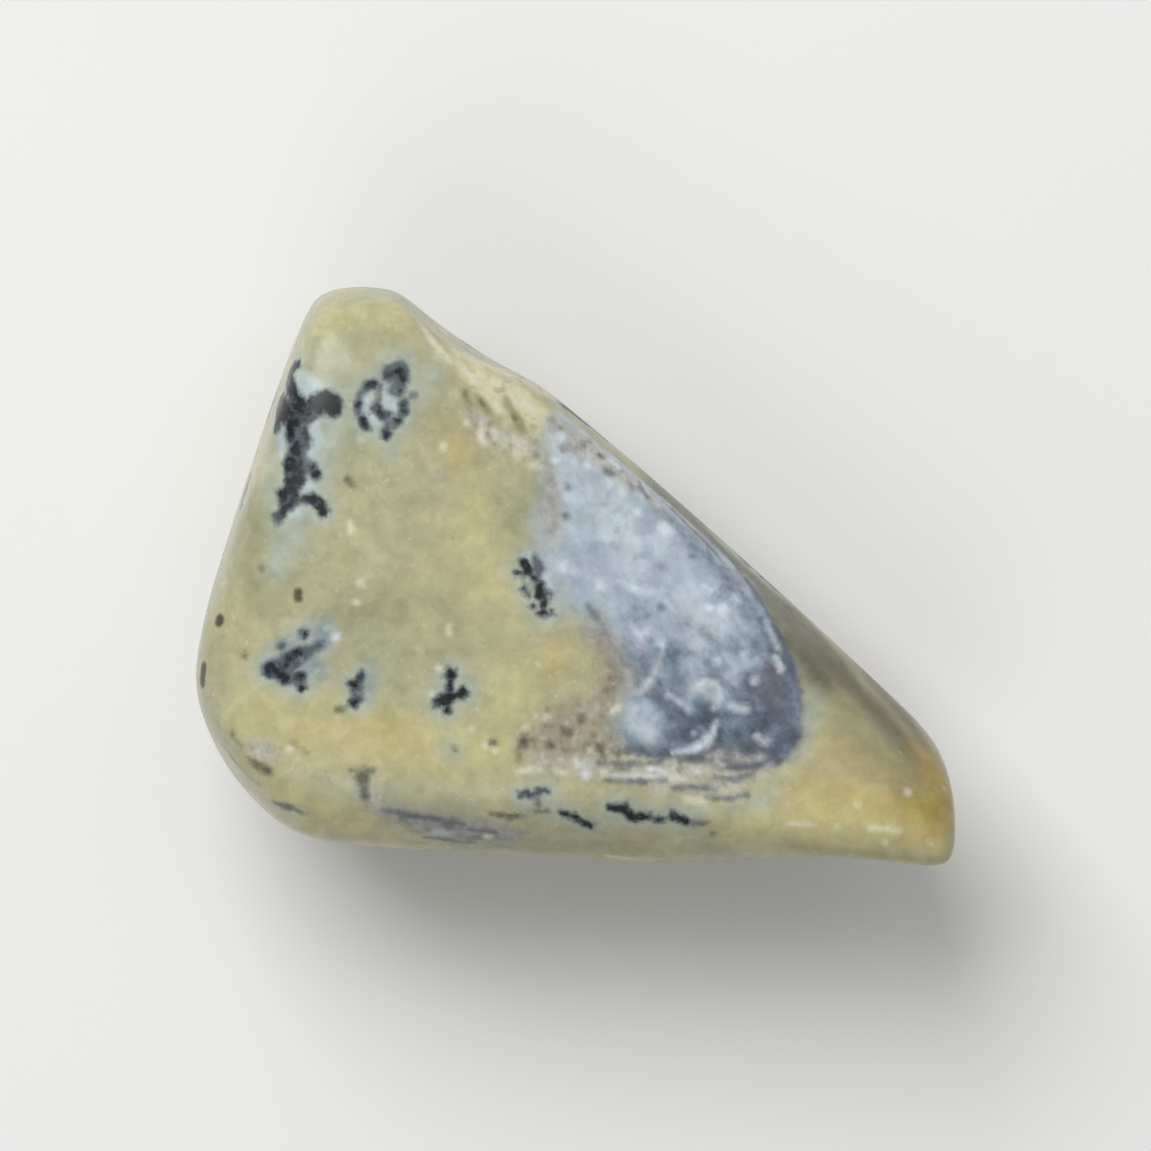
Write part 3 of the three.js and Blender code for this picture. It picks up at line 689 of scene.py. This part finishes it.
# The blue-grey windows of clear chalcedony. "softSide" is where the outline blurs into the olive,
# and "paleEnd" and "darkEnd" are where the window is milkiest and clearest.
# In the top window the milky white is partly a painted sheen.
windows = {
    "topWindow": {
        "side": "top",
        "outline": [
            (-1.1, 5.5), (-0.3, 6.4), (1.6, 5.3), (3.2, 3.8), (4.9, 2.25), (6.3, 0.7), (7.45, -1.0),
            (8.35, -2.8), (8.95, -4.6), (9.1, -6.0), (8.4, -7.2), (6.9, -7.8), (4.6, -7.3), (2.4, -7.15),
            (1.5, -6.4), (1.8, -5.0), (1.9, -3.8), (0.6, -2.0), (-0.9, -0.5), (-1.6, 1.0), (-1.2, 3.6),
        ],
        "softSide": [
            (-1.0, 5.6, 0.5, -1.3, 3.0, 0.8, -0.9, 0.4, 0.6, 1.6, -3.4, 0.9, 1.6, -5.6, 0.5),
            (-1.1, 6.3, 0.6, 0.4, 6.2, 0.3), (9.9, -5.0, 0.0, 9.9, -6.6, 0.0, 9.0, -8.1, 0.0),
        ],
        "paleEnd": (1.4, 2.2),
        "darkEnd": (7.4, -6.4),
    },
    "underWindow": {
        "side": "under",
        "outline": [
            (-9.6, -2.2), (-6.4, -4.6), (-2.2, -3.6), (0.6, -0.6), (-0.4, 3.2), (-4.2, 5.2), (-8.4, 3.6),
            (-11.0, 0.8),
        ],
        "softSide": [(-0.4, -2.0, 0.9, 0.0, 1.4, 0.9, -2.4, 4.4, 0.9)],
        "paleEnd": (-3.0, -2.4),
        "darkEnd": (-9.0, 2.6),
    },
}
softSideReach = 1.2           # how far from its soft side a window's rim is still blurred
clearLimits = (-0.4, 1.3)     # how far past the pale and the dark end the depth still changes


def windowShares(window):      # its edge, how blurred that is, and how clear the chalcedony is
    edge = outlineEdge(window["side"], window["outline"])
    soft = 1 - smoothStep(strokeEdge({window["side"]: window["softSide"]}), 0.0, softSideReach)
    pale = np.array(window["paleEnd"])
    span = np.array(window["darkEnd"]) - pale
    clear = np.clip((flatPlaces(window["side"]) - pale) @ span / (span @ span), *clearLimits)
    return edge, soft, clear


def surfaceShares():      # every attribute that the finish reads, by name
    edges, softs, clears = (np.array(rows) for rows in zip(*(windowShares(w) for w in windows.values())))
    nearest = edges.argmin(axis=0)
    pick = lambda rows: np.take_along_axis(rows, nearest[None], axis=0)[0]
    shares = {}
    for kind in topMarks:
        strokesBySide = {side: marks.get(kind, []) for side, marks in markSides.items()}
        shares[kind + "Edge"] = strokeEdge(strokesBySide)
    shares.update(windowEdge=pick(edges), windowSoft=pick(softs), windowClear=pick(clears))
    return shares


markShares = surfaceShares()
print("stage: marks laid,", len(markShares), "kinds")


def addNode(tree, kind, inputs=(), output=0, **settings):
    made = tree.nodes.new(kind)
    for name, value in settings.items():
        setattr(made, name, value)
    for socket, value in dict(inputs).items():
        if isinstance(value, bpy.types.NodeSocket):
            tree.links.new(value, made.inputs[socket])
        else:
            made.inputs[socket].default_value = value
    return made.outputs[output]


# The finish. Lengths are in millimetres, colours are linear.
agateFinish = {
    "olive": (0.44, 0.42, 0.25),
    "paleOlive": (0.51, 0.49, 0.305),
    "greenOlive": (0.375, 0.38, 0.245),
    "brownOlive": (0.40, 0.355, 0.19),
    # among these, the golden olive is also laid as painted light, and the dull olive, the dusk and the umber
    # as painted shade
    "goldenOlive": (0.53, 0.485, 0.25),
    "dullOlive": (0.29, 0.28, 0.165),
    "duskAndPaintedShade": (0.13, 0.13, 0.085),
    "ochre": (0.39, 0.26, 0.04),
    "amberOlive": (0.53, 0.42, 0.15),
    "umberAndPaintedShade": (0.115, 0.1, 0.04),
    "halo": (0.38, 0.435, 0.36),
    "paleHalo": (0.44, 0.50, 0.47),
    "mauve": (0.30, 0.25, 0.195),
    "rust": (0.165, 0.115, 0.075),
    "darkBrown": (0.12, 0.1, 0.07),
    "dimOlive": (0.065, 0.065, 0.05),
    "peatBrown": (0.045, 0.04, 0.018),
    "lavender": (0.27, 0.265, 0.285),
    "lilac": (0.37, 0.37, 0.44),
    "seam": (0.71, 0.67, 0.44),
    "cream": (0.70, 0.68, 0.52),
    "chalk": (0.455, 0.44, 0.395),
    "chalkWhite": (0.64, 0.65, 0.64),
    "chalkShade": (0.21, 0.20, 0.175),
    # the milky white of the windows, in the top window partly a painted sheen
    "milkWhite": (0.55, 0.62, 0.665),
    "milkBlue": (0.385, 0.465, 0.54),
    "blueGrey": (0.19, 0.25, 0.315),
    "slate": (0.085, 0.105, 0.135),
    "plum": (0.165, 0.15, 0.16),
    "nearBlack": (0.04, 0.045, 0.058),
    "blueWhite": (0.74, 0.80, 0.84),
    "paleBlue": (0.48, 0.57, 0.62),
    "greyOlive": (0.17, 0.17, 0.13),
    "ink": (0.004, 0.005, 0.006),
    "inkSlate": (0.05, 0.07, 0.09),
    # each noise: size, detail, roughness, distortion, and the shift that sets it apart
    "noises": {
        "patches": (6.5, 2, 0.5, 0.4, 0.0),
        "clouds": (1.9, 4, 0.6, 0.8, 5.0),
        "mottles": (0.75, 4, 0.6, 0.3, 31.0),
        "grains": (0.3, 3, 0.6, 0.0, 9.0),
        "ragged": (0.5, 4, 0.65, 0.0, 4.0),
        "fine": (0.28, 3, 0.6, 0.0, 15.0),
        "specks": (0.34, 2, 0.5, 0.0, 6.0),
        "blotches": (0.55, 2, 0.5, 0.0, 8.0),
        "veils": (1.5, 3, 0.5, 0.7, 11.0),
        "tints": (1.2, 3, 0.5, 0.0, 23.0),
        "windowRim": (0.9, 5, 0.6, 0.0, 17.0),
        "crumbs": (0.3, 3, 0.6, 0.0, 19.0),
        "inkPatches": (0.45, 2, 0.5, 0.0, 21.0),
    },
    # each band: the colour laid over, where it starts and is full along a noise or a distance, its strength
    "bands": {
        "patches": [("olive", 0.36, 0.62, 1)],
        "clouds": [("paleOlive", 0.5, 0.75, 0.8), ("brownOlive", 0.46, 0.24, 0.55)],
        "specks": [("cream", 0.64, 0.76, 0.3), ("greyOlive", 0.34, 0.24, 0.25)],
        "inkHalo": [("halo", 0.9, 0.1, 0.5), ("paleHalo", 0.4, 0.08, 0.4)],
        "windowRim": [("halo", 0.6, 0.0, 0.25)],
        "windowDepth": [("milkBlue", -0.5, 0.4, 1), ("blueGrey", 0.3, 0.85, 1), ("slate", 0.75, 1.2, 1)],
        "tintDepth": [("plum", 0.4, 1.0, 1)],
        "inkRim": [("inkSlate", 0.24, 0.0, 0.6)],
        "inkPatches": [("inkSlate", 0.52, 0.68, 1)],
        "pits": [("chalkWhite", 0.2, 0.9, 0.3)],
    },
    # each stain: colour, pale specks, dark specks, the edge distances where it starts and is full,
    # its strength, and the noise that ravels its edge, with how far
    "belowWindow": {
        # some of these paint light and shade: the golden one light on the knob and lower crests, the dull
        # olive, dusk and umber ones shade
        "goldenAndPaintedLight": ("goldenOlive", None, None, 1.4, -0.9, 0.8, "clouds", 1.6),
        "amber": ("amberOlive", None, None, 1.4, -0.9, 0.7, "clouds", 1.4),
        "dullOliveAndPaintedShade": ("dullOlive", None, None, 1.3, -0.9, 0.7, "clouds", 1.4),
        "duskAndPaintedShade": ("duskAndPaintedShade", "greyOlive", None, 1.0, -0.4, 0.9, "clouds", 0.7),
        "umberAndPaintedShade": ("umberAndPaintedShade", None, None, 1.2, -0.5, 0.9, "clouds", 1.0),
        "ochre": ("ochre", None, None, 1.4, -1.1, 0.92, "clouds", 1.2),
        "halo": ("halo", "paleHalo", None, 0.6, -0.7, 0.75, "clouds", 1.0),
        "seam": ("seam", "cream", "olive", 0.5, -0.4, 0.9, "ragged", 1.0),
        "lavender": ("lavender", "lilac", "slate", 0.6, -0.5, 0.75, "ragged", 0.8),
        "haze": ("blueGrey", "halo", None, 0.5, -0.35, 0.85, "ragged", 0.6),
    },
    "inWindow": {
        "milk": ("milkWhite", None, "milkBlue", 0.5, -0.5, 0.75, "ragged", 0.9),
        "darkMottle": ("slate", "blueGrey", "nearBlack", 0.7, -0.5, 0.7, "ragged", 1.2),
    },
    "overWindow": {
        "mauve": ("mauve", "chalk", "darkBrown", 0.7, -0.5, 0.75, "ragged", 0.9),
        "chalk": ("chalk", "chalkWhite", "chalkShade", 0.4, -0.45, 0.8, "ragged", 0.8),
        "groove": ("dullOlive", None, "darkBrown", 0.2, -0.1, 0.8, "ragged", 0.45),
        "dimSpot": ("dimOlive", None, None, 0.2, -0.2, 0.85, "ragged", 0.5),
        "darkSpot": ("peatBrown", None, None, 0.14, -0.08, 0.92, "fine", 0.15),
        "veil": ("blueWhite", None, None, 0.25, -0.2, 0.6, "fine", 0.35),
        "slateSpot": ("slate", None, "nearBlack", 0.22, -0.2, 0.7, "fine", 0.25),
        "darkLine": ("slate", None, "greyOlive", 0.2, -0.12, 0.75, "ragged", 0.45),
        # the white flecks include painted glints and a painted crescent highlight, the cream flecks painted
        # highlights on the lower crests
        "whiteFleckAndGlint": ("blueWhite", None, None, 0.2, -0.22, 0.8, "fine", 0.3),
        "creamFleckAndHighlight": ("cream", None, None, 0.2, -0.2, 0.85, "fine", 0.25),
        "brownFleck": ("rust", None, "darkBrown", 0.18, -0.1, 0.75, "fine", 0.2),
        "paleCore": ("paleBlue", None, None, 0.25, -0.2, 0.7, "fine", 0.3),
        "softInk": ("inkSlate", "blueGrey", None, 0.2, -0.12, 0.85, "ragged", 0.35),
    },
    # each range: start, end, and the values there
    "ranges": {
        "paleBlotches": (0.5, 0.68, 0, 0.75),
        "darkBlotches": (0.48, 0.33, 0, 0.75),
        "tints": (0.48, 0.64, 0, 0.45),
        "windowShare": (1.0, -1.0, 0, 1),
        "inkShare": (0.1, -0.1, 0, 0.94),
        "seamShare": (0.2, -0.4, 0, 1),
        "mottleLevel": (0.25, 0.75, 0.88, 1.12),
        "grainLevel": (0.25, 0.75, 0.98, 1.02),
    },
    "streaks": (0.6, 4, 0.6, 0.3, 13.0),      # a noise drawn out along a run
    "streakRun": (-56, 1.6),          # the turn that the streaks lie along, and how much longer they are
    "veilReach": 1.6,
    "streakReach": 1.1,
    "windowReach": 0.8,
    "windowBlur": (0.6, 0.18),        # what the soft side adds to the rim's blur, and the least
    "crumbSize": 0.34,
    "crumbRise": (0.14, -0.06),       # what a lump adds to the ink's edge, and the least
    "crumbReach": 0.38,
    "inkSpread": 0.05,                # how much wider the ink is than its strokes
    "roughnessOlive": 0.27,
    "roughnessWindow": 0.18,
    "roughnessSeam": 0.48,
    "indexOfRefraction": 1.54,
    "specularLevel": 0.35,
    "subsurfaceShare": 0.14,
    "subsurfaceScale": 0.7,
    "subsurfaceRadius": (1.0, 0.95, 0.75),
}


class Finish:
    # Short ways to add the nodes of one material
    def __init__(self, name, look):
        self.material = bpy.data.materials.new(name)
        self.material.use_nodes = True
        self.tree = self.material.node_tree
        self.tree.nodes.clear()
        place = self.add("ShaderNodeTexCoord", output=3)
        self.place = self.add("ShaderNodeVectorMath", {0: place, 3: 1 / mm}, operation="SCALE")
        self.look = look
        self.noises = {kind: self.noise(*sizes) for kind, sizes in look["noises"].items()}

    def add(self, kind, inputs=(), output=0, **settings):
        return addNode(self.tree, kind, inputs, output, **settings)

    def share(self, name):
        return self.add("ShaderNodeAttribute", output=2, attribute_name=name)

    def maths(self, operation, first, second=0.0, third=0.0):
        return self.add("ShaderNodeMath", {0: first, 1: second, 2: third}, operation=operation)

    def noise(self, size, detail, roughness, distortion, shift, place=None):
        inputs = {0: place or self.place, 1: (shift, shift * 2, shift * 3)}
        moved = self.add("ShaderNodeVectorMath", inputs, operation="ADD")
        inputs = {0: moved, 2: 1 / size, 3: detail, 4: roughness, "Distortion": distortion}
        return self.add("ShaderNodeTexNoise", inputs)

    def drawnOut(self, turn, length):      # places for a noise that is longer along a turn about Z
        inputs = {0: self.place, 3: math.radians(-turn)}
        turned = self.add("ShaderNodeVectorRotate", inputs, rotation_type="Z_AXIS")
        return self.add("ShaderNodeVectorMath", {0: turned, 1: (1 / length, 1, 1)}, operation="MULTIPLY")

    def lumps(self, size):
        return self.add("ShaderNodeTexVoronoi", {0: self.place, 2: 1 / size})

    def ramp(self, value, start, end, low, high):      # smooth from low at start to high at end
        inputs = {0: value, 1: start, 2: end, 3: low, 4: high}
        return self.add("ShaderNodeMapRange", inputs, interpolation_type="SMOOTHSTEP")

    def ranged(self, value, name):
        return self.ramp(value, *self.look["ranges"][name])

    def ravelled(self, edge, noise, reach):      # an edge distance that a noise pushes in and out
        return self.maths("ADD", self.maths("MULTIPLY_ADD", noise, -reach, edge), reach / 2)

    def blend(self, share, first, second):
        first, second = ((*c, 1) if isinstance(c, tuple) else c for c in (first, second))
        return self.add("ShaderNodeMix", {0: share, 6: first, 7: second}, output=2, data_type="RGBA")

    def tinted(self, colour, along, name):
        for over, start, full, strength in self.look["bands"][name]:
            colour = self.blend(self.ramp(along, start, full, 0, strength), colour, self.look[over])
        return colour

    def layStains(self, colour, group):
        for kind, (plain, pale, dark, start, full, strength, ravel, reach) in self.look[group].items():
            edge = self.ravelled(self.share(kind + "Edge"), self.noises[ravel], reach)
            stain = self.look[plain]
            for specks, name in ((pale, "paleBlotches"), (dark, "darkBlotches")):
                if specks:
                    stain = self.blend(self.ranged(self.noises["blotches"], name), stain, self.look[specks])
            colour = self.blend(self.ramp(edge, start, full, 0, strength), colour, stain)
        return colour

    def finished(self, inputs):
        shader = self.add("ShaderNodeBsdfPrincipled", inputs)
        self.tree.links.new(shader, self.tree.nodes.new("ShaderNodeOutputMaterial").inputs[0])
        return self.material


def windowColour(f, look):      # milky where it is pale, with a painted sheen in the milky white, blue-grey to slate where it is clear
    streaks = f.noise(*look["streaks"], place=f.drawnOut(*look["streakRun"]))
    depth = f.ravelled(f.share("windowClear"), f.noises["veils"], look["veilReach"])
    depth = f.ravelled(depth, streaks, look["streakReach"])
    colour = f.tinted(look["milkWhite"], depth, "windowDepth")
    tint = f.tinted(look["lilac"], depth, "tintDepth")
    colour = f.blend(f.ranged(f.noises["tints"], "tints"), colour, tint)
    return f.layStains(colour, "inWindow")


def polishedAgate(look):
    f = Finish("polishedAgate", look)

    # Olive chalcedony, mottled in patches and in clouds, with stains laid over it that also paint light and
    # shade
    colour = look["greenOlive"]
    for name in ("patches", "clouds", "specks"):
        colour = f.tinted(colour, f.noises[name], name)
    colour = f.layStains(colour, "belowWindow")
    inkEdge = f.share("inkEdge")
    colour = f.tinted(colour, inkEdge, "inkHalo")

    # The window, sharp along some of its rim and blurred along the rest
    blur = f.maths("MULTIPLY_ADD", f.share("windowSoft"), *look["windowBlur"])
    windowEdge = f.ravelled(f.share("windowEdge"), f.noises["windowRim"], look["windowReach"])
    windowShare = f.ranged(f.maths("DIVIDE", windowEdge, blur), "windowShare")
    colour = f.tinted(colour, windowEdge, "windowRim")
    colour = f.blend(windowShare, colour, windowColour(f, look))
    colour = f.layStains(colour, "overWindow")

    # The dendrites, crumbly at their edges and slate-blue in places
    crumbs = f.maths("MULTIPLY_ADD", f.lumps(look["crumbSize"]), *look["crumbRise"])
    crumbs = f.ravelled(crumbs, f.noises["crumbs"], look["crumbReach"])
    jagged = f.maths("ADD", inkEdge, f.maths("SUBTRACT", crumbs, look["inkSpread"]))
    colour = f.tinted(colour, jagged, "inkRim")
    inkColour = f.tinted(look["ink"], f.noises["inkPatches"], "inkPatches")
    colour = f.blend(f.ranged(jagged, "inkShare"), colour, inkColour)

    # Worn pits are paler, and a fine mottle and grain lie over everything
    colour = f.tinted(colour, f.share("pitShare"), "pits")
    mottling = f.ranged(f.noises["mottles"], "mottleLevel")
    level = f.maths("MULTIPLY", mottling, f.ranged(f.noises["grains"], "grainLevel"))
    colour = f.add("ShaderNodeVectorMath", {0: colour, 3: level}, operation="SCALE")

    roughness = look["roughnessOlive"]
    seamShare = f.ranged(f.share("seamEdge"), "seamShare")
    for share, name in ((windowShare, "roughnessWindow"), (seamShare, "roughnessSeam")):
        roughness = f.maths("MULTIPLY_ADD", share, look[name] - look["roughnessOlive"], roughness)

    return f.finished({
        "Base Color": colour,
        "Roughness": roughness,
        "IOR": look["indexOfRefraction"],
        "Specular IOR Level": look["specularLevel"],
        "Subsurface Weight": look["subsurfaceShare"],
        "Subsurface Radius": look["subsurfaceRadius"],
        "Subsurface Scale": look["subsurfaceScale"] * mm,
    })


agateMaterial = polishedAgate(agateFinish)
print("stage: finish made")


# What tumbling leaves on the surface: long low waves, and small pits, more of them in the rough seam
tumblingWear = {
    "Wave Height": 0.05 * mm,
    "Wave Size": 4.2 * mm,
    "Wave Detail": 2.0,
    "Wave Roughness": 0.45,
    "Wave Level": 0.75,         # the ripple that leaves the surface as drawn
    "Pit Density": 0.055 / mm ** 2,
    "Seam Pit Density": 0.9 / mm ** 2,
    "Seam Pits Start": 0.4,     # distances in millimetres to the seam's edge
    "Seam Pits Full": -0.3,
    "Pit Width": 0.26 * mm,
    "Narrowest Pit": 0.45,      # these two are shares of the pit width
    "Widest Pit": 1.25,
    "Pit Depth": 0.05 * mm,
    "Rest Height": 0.5 * mm,    # the wear fades out below it
    "Seed": 7,
}


def wearTree(sizes, material):
    tree = bpy.data.node_groups.new("tumblingWear", "GeometryNodeTree")
    face = tree.interface
    face.new_socket("Geometry", in_out="INPUT", socket_type="NodeSocketGeometry")
    for name, value in sizes.items():
        kind = "NodeSocketInt" if isinstance(value, int) else "NodeSocketFloat"
        face.new_socket(name, in_out="INPUT", socket_type=kind)
    face.new_socket("Geometry", in_out="OUTPUT", socket_type="NodeSocketGeometry")
    given = tree.nodes.new("NodeGroupInput").outputs

    def add(kind, inputs=(), output=0, **settings):
        return addNode(tree, kind, inputs, output, **settings)

    def maths(operation, first, second, third=0.0, **settings):
        return add("ShaderNodeMath", {0: first, 1: second, 2: third}, operation=operation, **settings)

    # Waves, set low enough to run inward from the drawn form
    perWave = maths("DIVIDE", 1.0, given["Wave Size"])
    ripple = add("ShaderNodeTexNoise", {2: perWave, 3: given["Wave Detail"], 4: given["Wave Roughness"]})
    wave = maths("MULTIPLY", maths("SUBTRACT", ripple, given["Wave Level"]), given["Wave Height"])

    # Pits: the distance to the nearest of scattered points, each with a width of its own
    seamEdge = add("GeometryNodeInputNamedAttribute", {0: "seamEdge"}, data_type="FLOAT")
    inputs = {0: seamEdge, 1: given["Seam Pits Start"], 2: given["Seam Pits Full"], 3: 0.0, 4: 1.0}
    inSeam = add("ShaderNodeMapRange", inputs)
    density = maths("MULTIPLY_ADD", inSeam, given["Seam Pit Density"], given["Pit Density"])
    scattered = add(
        "GeometryNodeDistributePointsOnFaces",
        {"Mesh": given["Geometry"], "Density": density, "Seed": given["Seed"]},
        distribute_method="RANDOM",
    )
    nearest = add("GeometryNodeSampleNearest", {"Geometry": scattered}, domain="POINT")
    inputs = {2: given["Narrowest Pit"], 3: given["Widest Pit"], "ID": nearest, "Seed": given["Seed"]}
    width = maths("MULTIPLY", add("FunctionNodeRandomValue", inputs, output=1), given["Pit Width"])
    gap = add("GeometryNodeProximity", {0: scattered}, output=1, target_element="POINTS")
    inputs = {0: maths("DIVIDE", gap, width), 1: 1.0, 2: 0.0, 3: 0.0, 4: 1.0}
    hollow = add("ShaderNodeMapRange", inputs, interpolation_type="SMOOTHSTEP")
    depth = maths("MULTIPLY", hollow, given["Pit Depth"])

    # The flat spot that the stone rests on stays flat
    height = add("ShaderNodeSeparateXYZ", {0: add("GeometryNodeInputPosition")}, output=2)
    worn = maths("DIVIDE", height, given["Rest Height"], use_clamp=True)
    rise = maths("MULTIPLY", maths("SUBTRACT", wave, depth), worn)
    offset = add("ShaderNodeVectorMath", {0: add("GeometryNodeInputNormal"), 3: rise}, operation="SCALE")
    moved = add("GeometryNodeSetPosition", {"Geometry": given["Geometry"], "Offset": offset})
    inputs = {"Geometry": moved, "Name": "pitShare", "Value": hollow}
    marked = add("GeometryNodeStoreNamedAttribute", inputs, data_type="FLOAT", domain="POINT")
    real = add("GeometryNodeRealizeInstances", {0: marked})
    dressed = add("GeometryNodeSetMaterial", {"Geometry": real, "Material": material})
    tree.links.new(dressed, tree.nodes.new("NodeGroupOutput").inputs[0])
    return tree


def wornMesh(piece, sizes, material):      # the piece's mesh with the tree's result applied
    tree = wearTree(sizes, material)
    modifier = piece.modifiers.new("tumblingWear", "NODES")
    modifier.node_group = tree
    for item in tree.interface.items_tree:
        if item.in_out == "INPUT" and item.name in sizes:
            modifier[item.identifier] = sizes[item.name]
    graph = bpy.context.evaluated_depsgraph_get()
    result = bpy.data.meshes.new_from_object(
        piece.evaluated_get(graph), preserve_all_data_layers=True, depsgraph=graph
    )
    piece.modifiers.remove(modifier)
    return result


def polishedStone():
    drawn = bpy.data.meshes.new("drawnStone")
    drawn.from_pydata((surfacePoints * mm).tolist(), [], surfaceQuads.tolist())
    for name, values in markShares.items():
        drawn.attributes.new(name, "FLOAT", "POINT").data.foreach_set("value", values.astype(np.float32))
    piece = bpy.data.objects.new("polishedStone", drawn)
    scene.collection.objects.link(piece)
    piece.data = wornMesh(piece, tumblingWear, agateMaterial)
    piece.data.name = "polishedStone"
    bpy.data.meshes.remove(drawn)
    piece.data.shade_smooth()
    return piece


stone = polishedStone()
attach(stone, "root")
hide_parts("stone")
print("stage: stone worn,", len(stone.data.polygons), "faces")


studio = {
    "floorHalfWidth": 1.5,
    "floorColour": (0.83, 0.83, 0.82),
    "floorDimming": 0.985,
    "floorRoughness": 0.75,
    "noises": {"mottling": (30.0, 2, 0.55, 0.0, 0.0)},
    "worldColour": (1.0, 1.0, 1.0),
    "worldStrength": 0.28,
    "lens": 400.0,
    "sensor": 36.0,
    "cameraHeight": 0.52,
    "clipping": (0.01, 5.0),
    # each light: direction it comes from as a turn and a tilt, distance, side length, watts
    "lights": {
        "keyBox": (122, 52, 0.6, 0.42, 3.1),
        "windowSheenBox": (42, 64, 0.6, 0.24, 0.12),
        "fillBox": (245, 48, 0.7, 0.4, 0.75),
    },
}


def makeFloor(setup):
    half = setup["floorHalfWidth"]
    corners = [(-half, -half, 0), (half, -half, 0), (half, half, 0), (-half, half, 0)]
    sheet = bpy.data.meshes.new("paleFloor")
    sheet.from_pydata(corners, [], [(0, 1, 2, 3)])
    f = Finish("paleFloor", setup)
    white = setup["floorColour"]
    dimmer = tuple(channel * setup["floorDimming"] for channel in white)
    colour = f.blend(f.noises["mottling"], dimmer, white)
    sheet.materials.append(f.finished({"Base Color": colour, "Roughness": setup["floorRoughness"]}))
    floor = bpy.data.objects.new("paleFloor", sheet)
    scene.collection.objects.link(floor)


def makeLights(setup):
    world = bpy.data.worlds.new("softStudio")
    world.use_nodes = True
    background = world.node_tree.nodes["Background"]
    background.inputs["Color"].default_value = (*setup["worldColour"], 1)
    background.inputs["Strength"].default_value = setup["worldStrength"]
    scene.world = world
    target = Vector(stoneMiddle * mm)
    for name, (turn, tilt, distance, side, watts) in setup["lights"].items():
        lamp = bpy.data.lights.new(name, "AREA")
        lamp.shape = "SQUARE"
        lamp.size = side
        lamp.energy = watts
        light = bpy.data.objects.new(name, lamp)
        toward = Vector(directionOf(turn, tilt))
        light.location = target + toward * distance
        light.rotation_euler = toward.to_track_quat("Z", "Y").to_euler()
        scene.collection.objects.link(light)


def makeCamera(setup):      # straight down, with +Y up in the picture
    lensData = bpy.data.cameras.new("overheadCamera")
    lensData.lens = setup["lens"]
    lensData.sensor_width = setup["sensor"]
    lensData.clip_start, lensData.clip_end = setup["clipping"]
    camera = bpy.data.objects.new("overheadCamera", lensData)
    camera.location = (0, 0, setup["cameraHeight"])
    scene.collection.objects.link(camera)
    scene.camera = camera


makeFloor(studio)
makeLights(studio)
makeCamera(studio)
scene.view_settings.view_transform = "Standard"
print("stage: studio set")
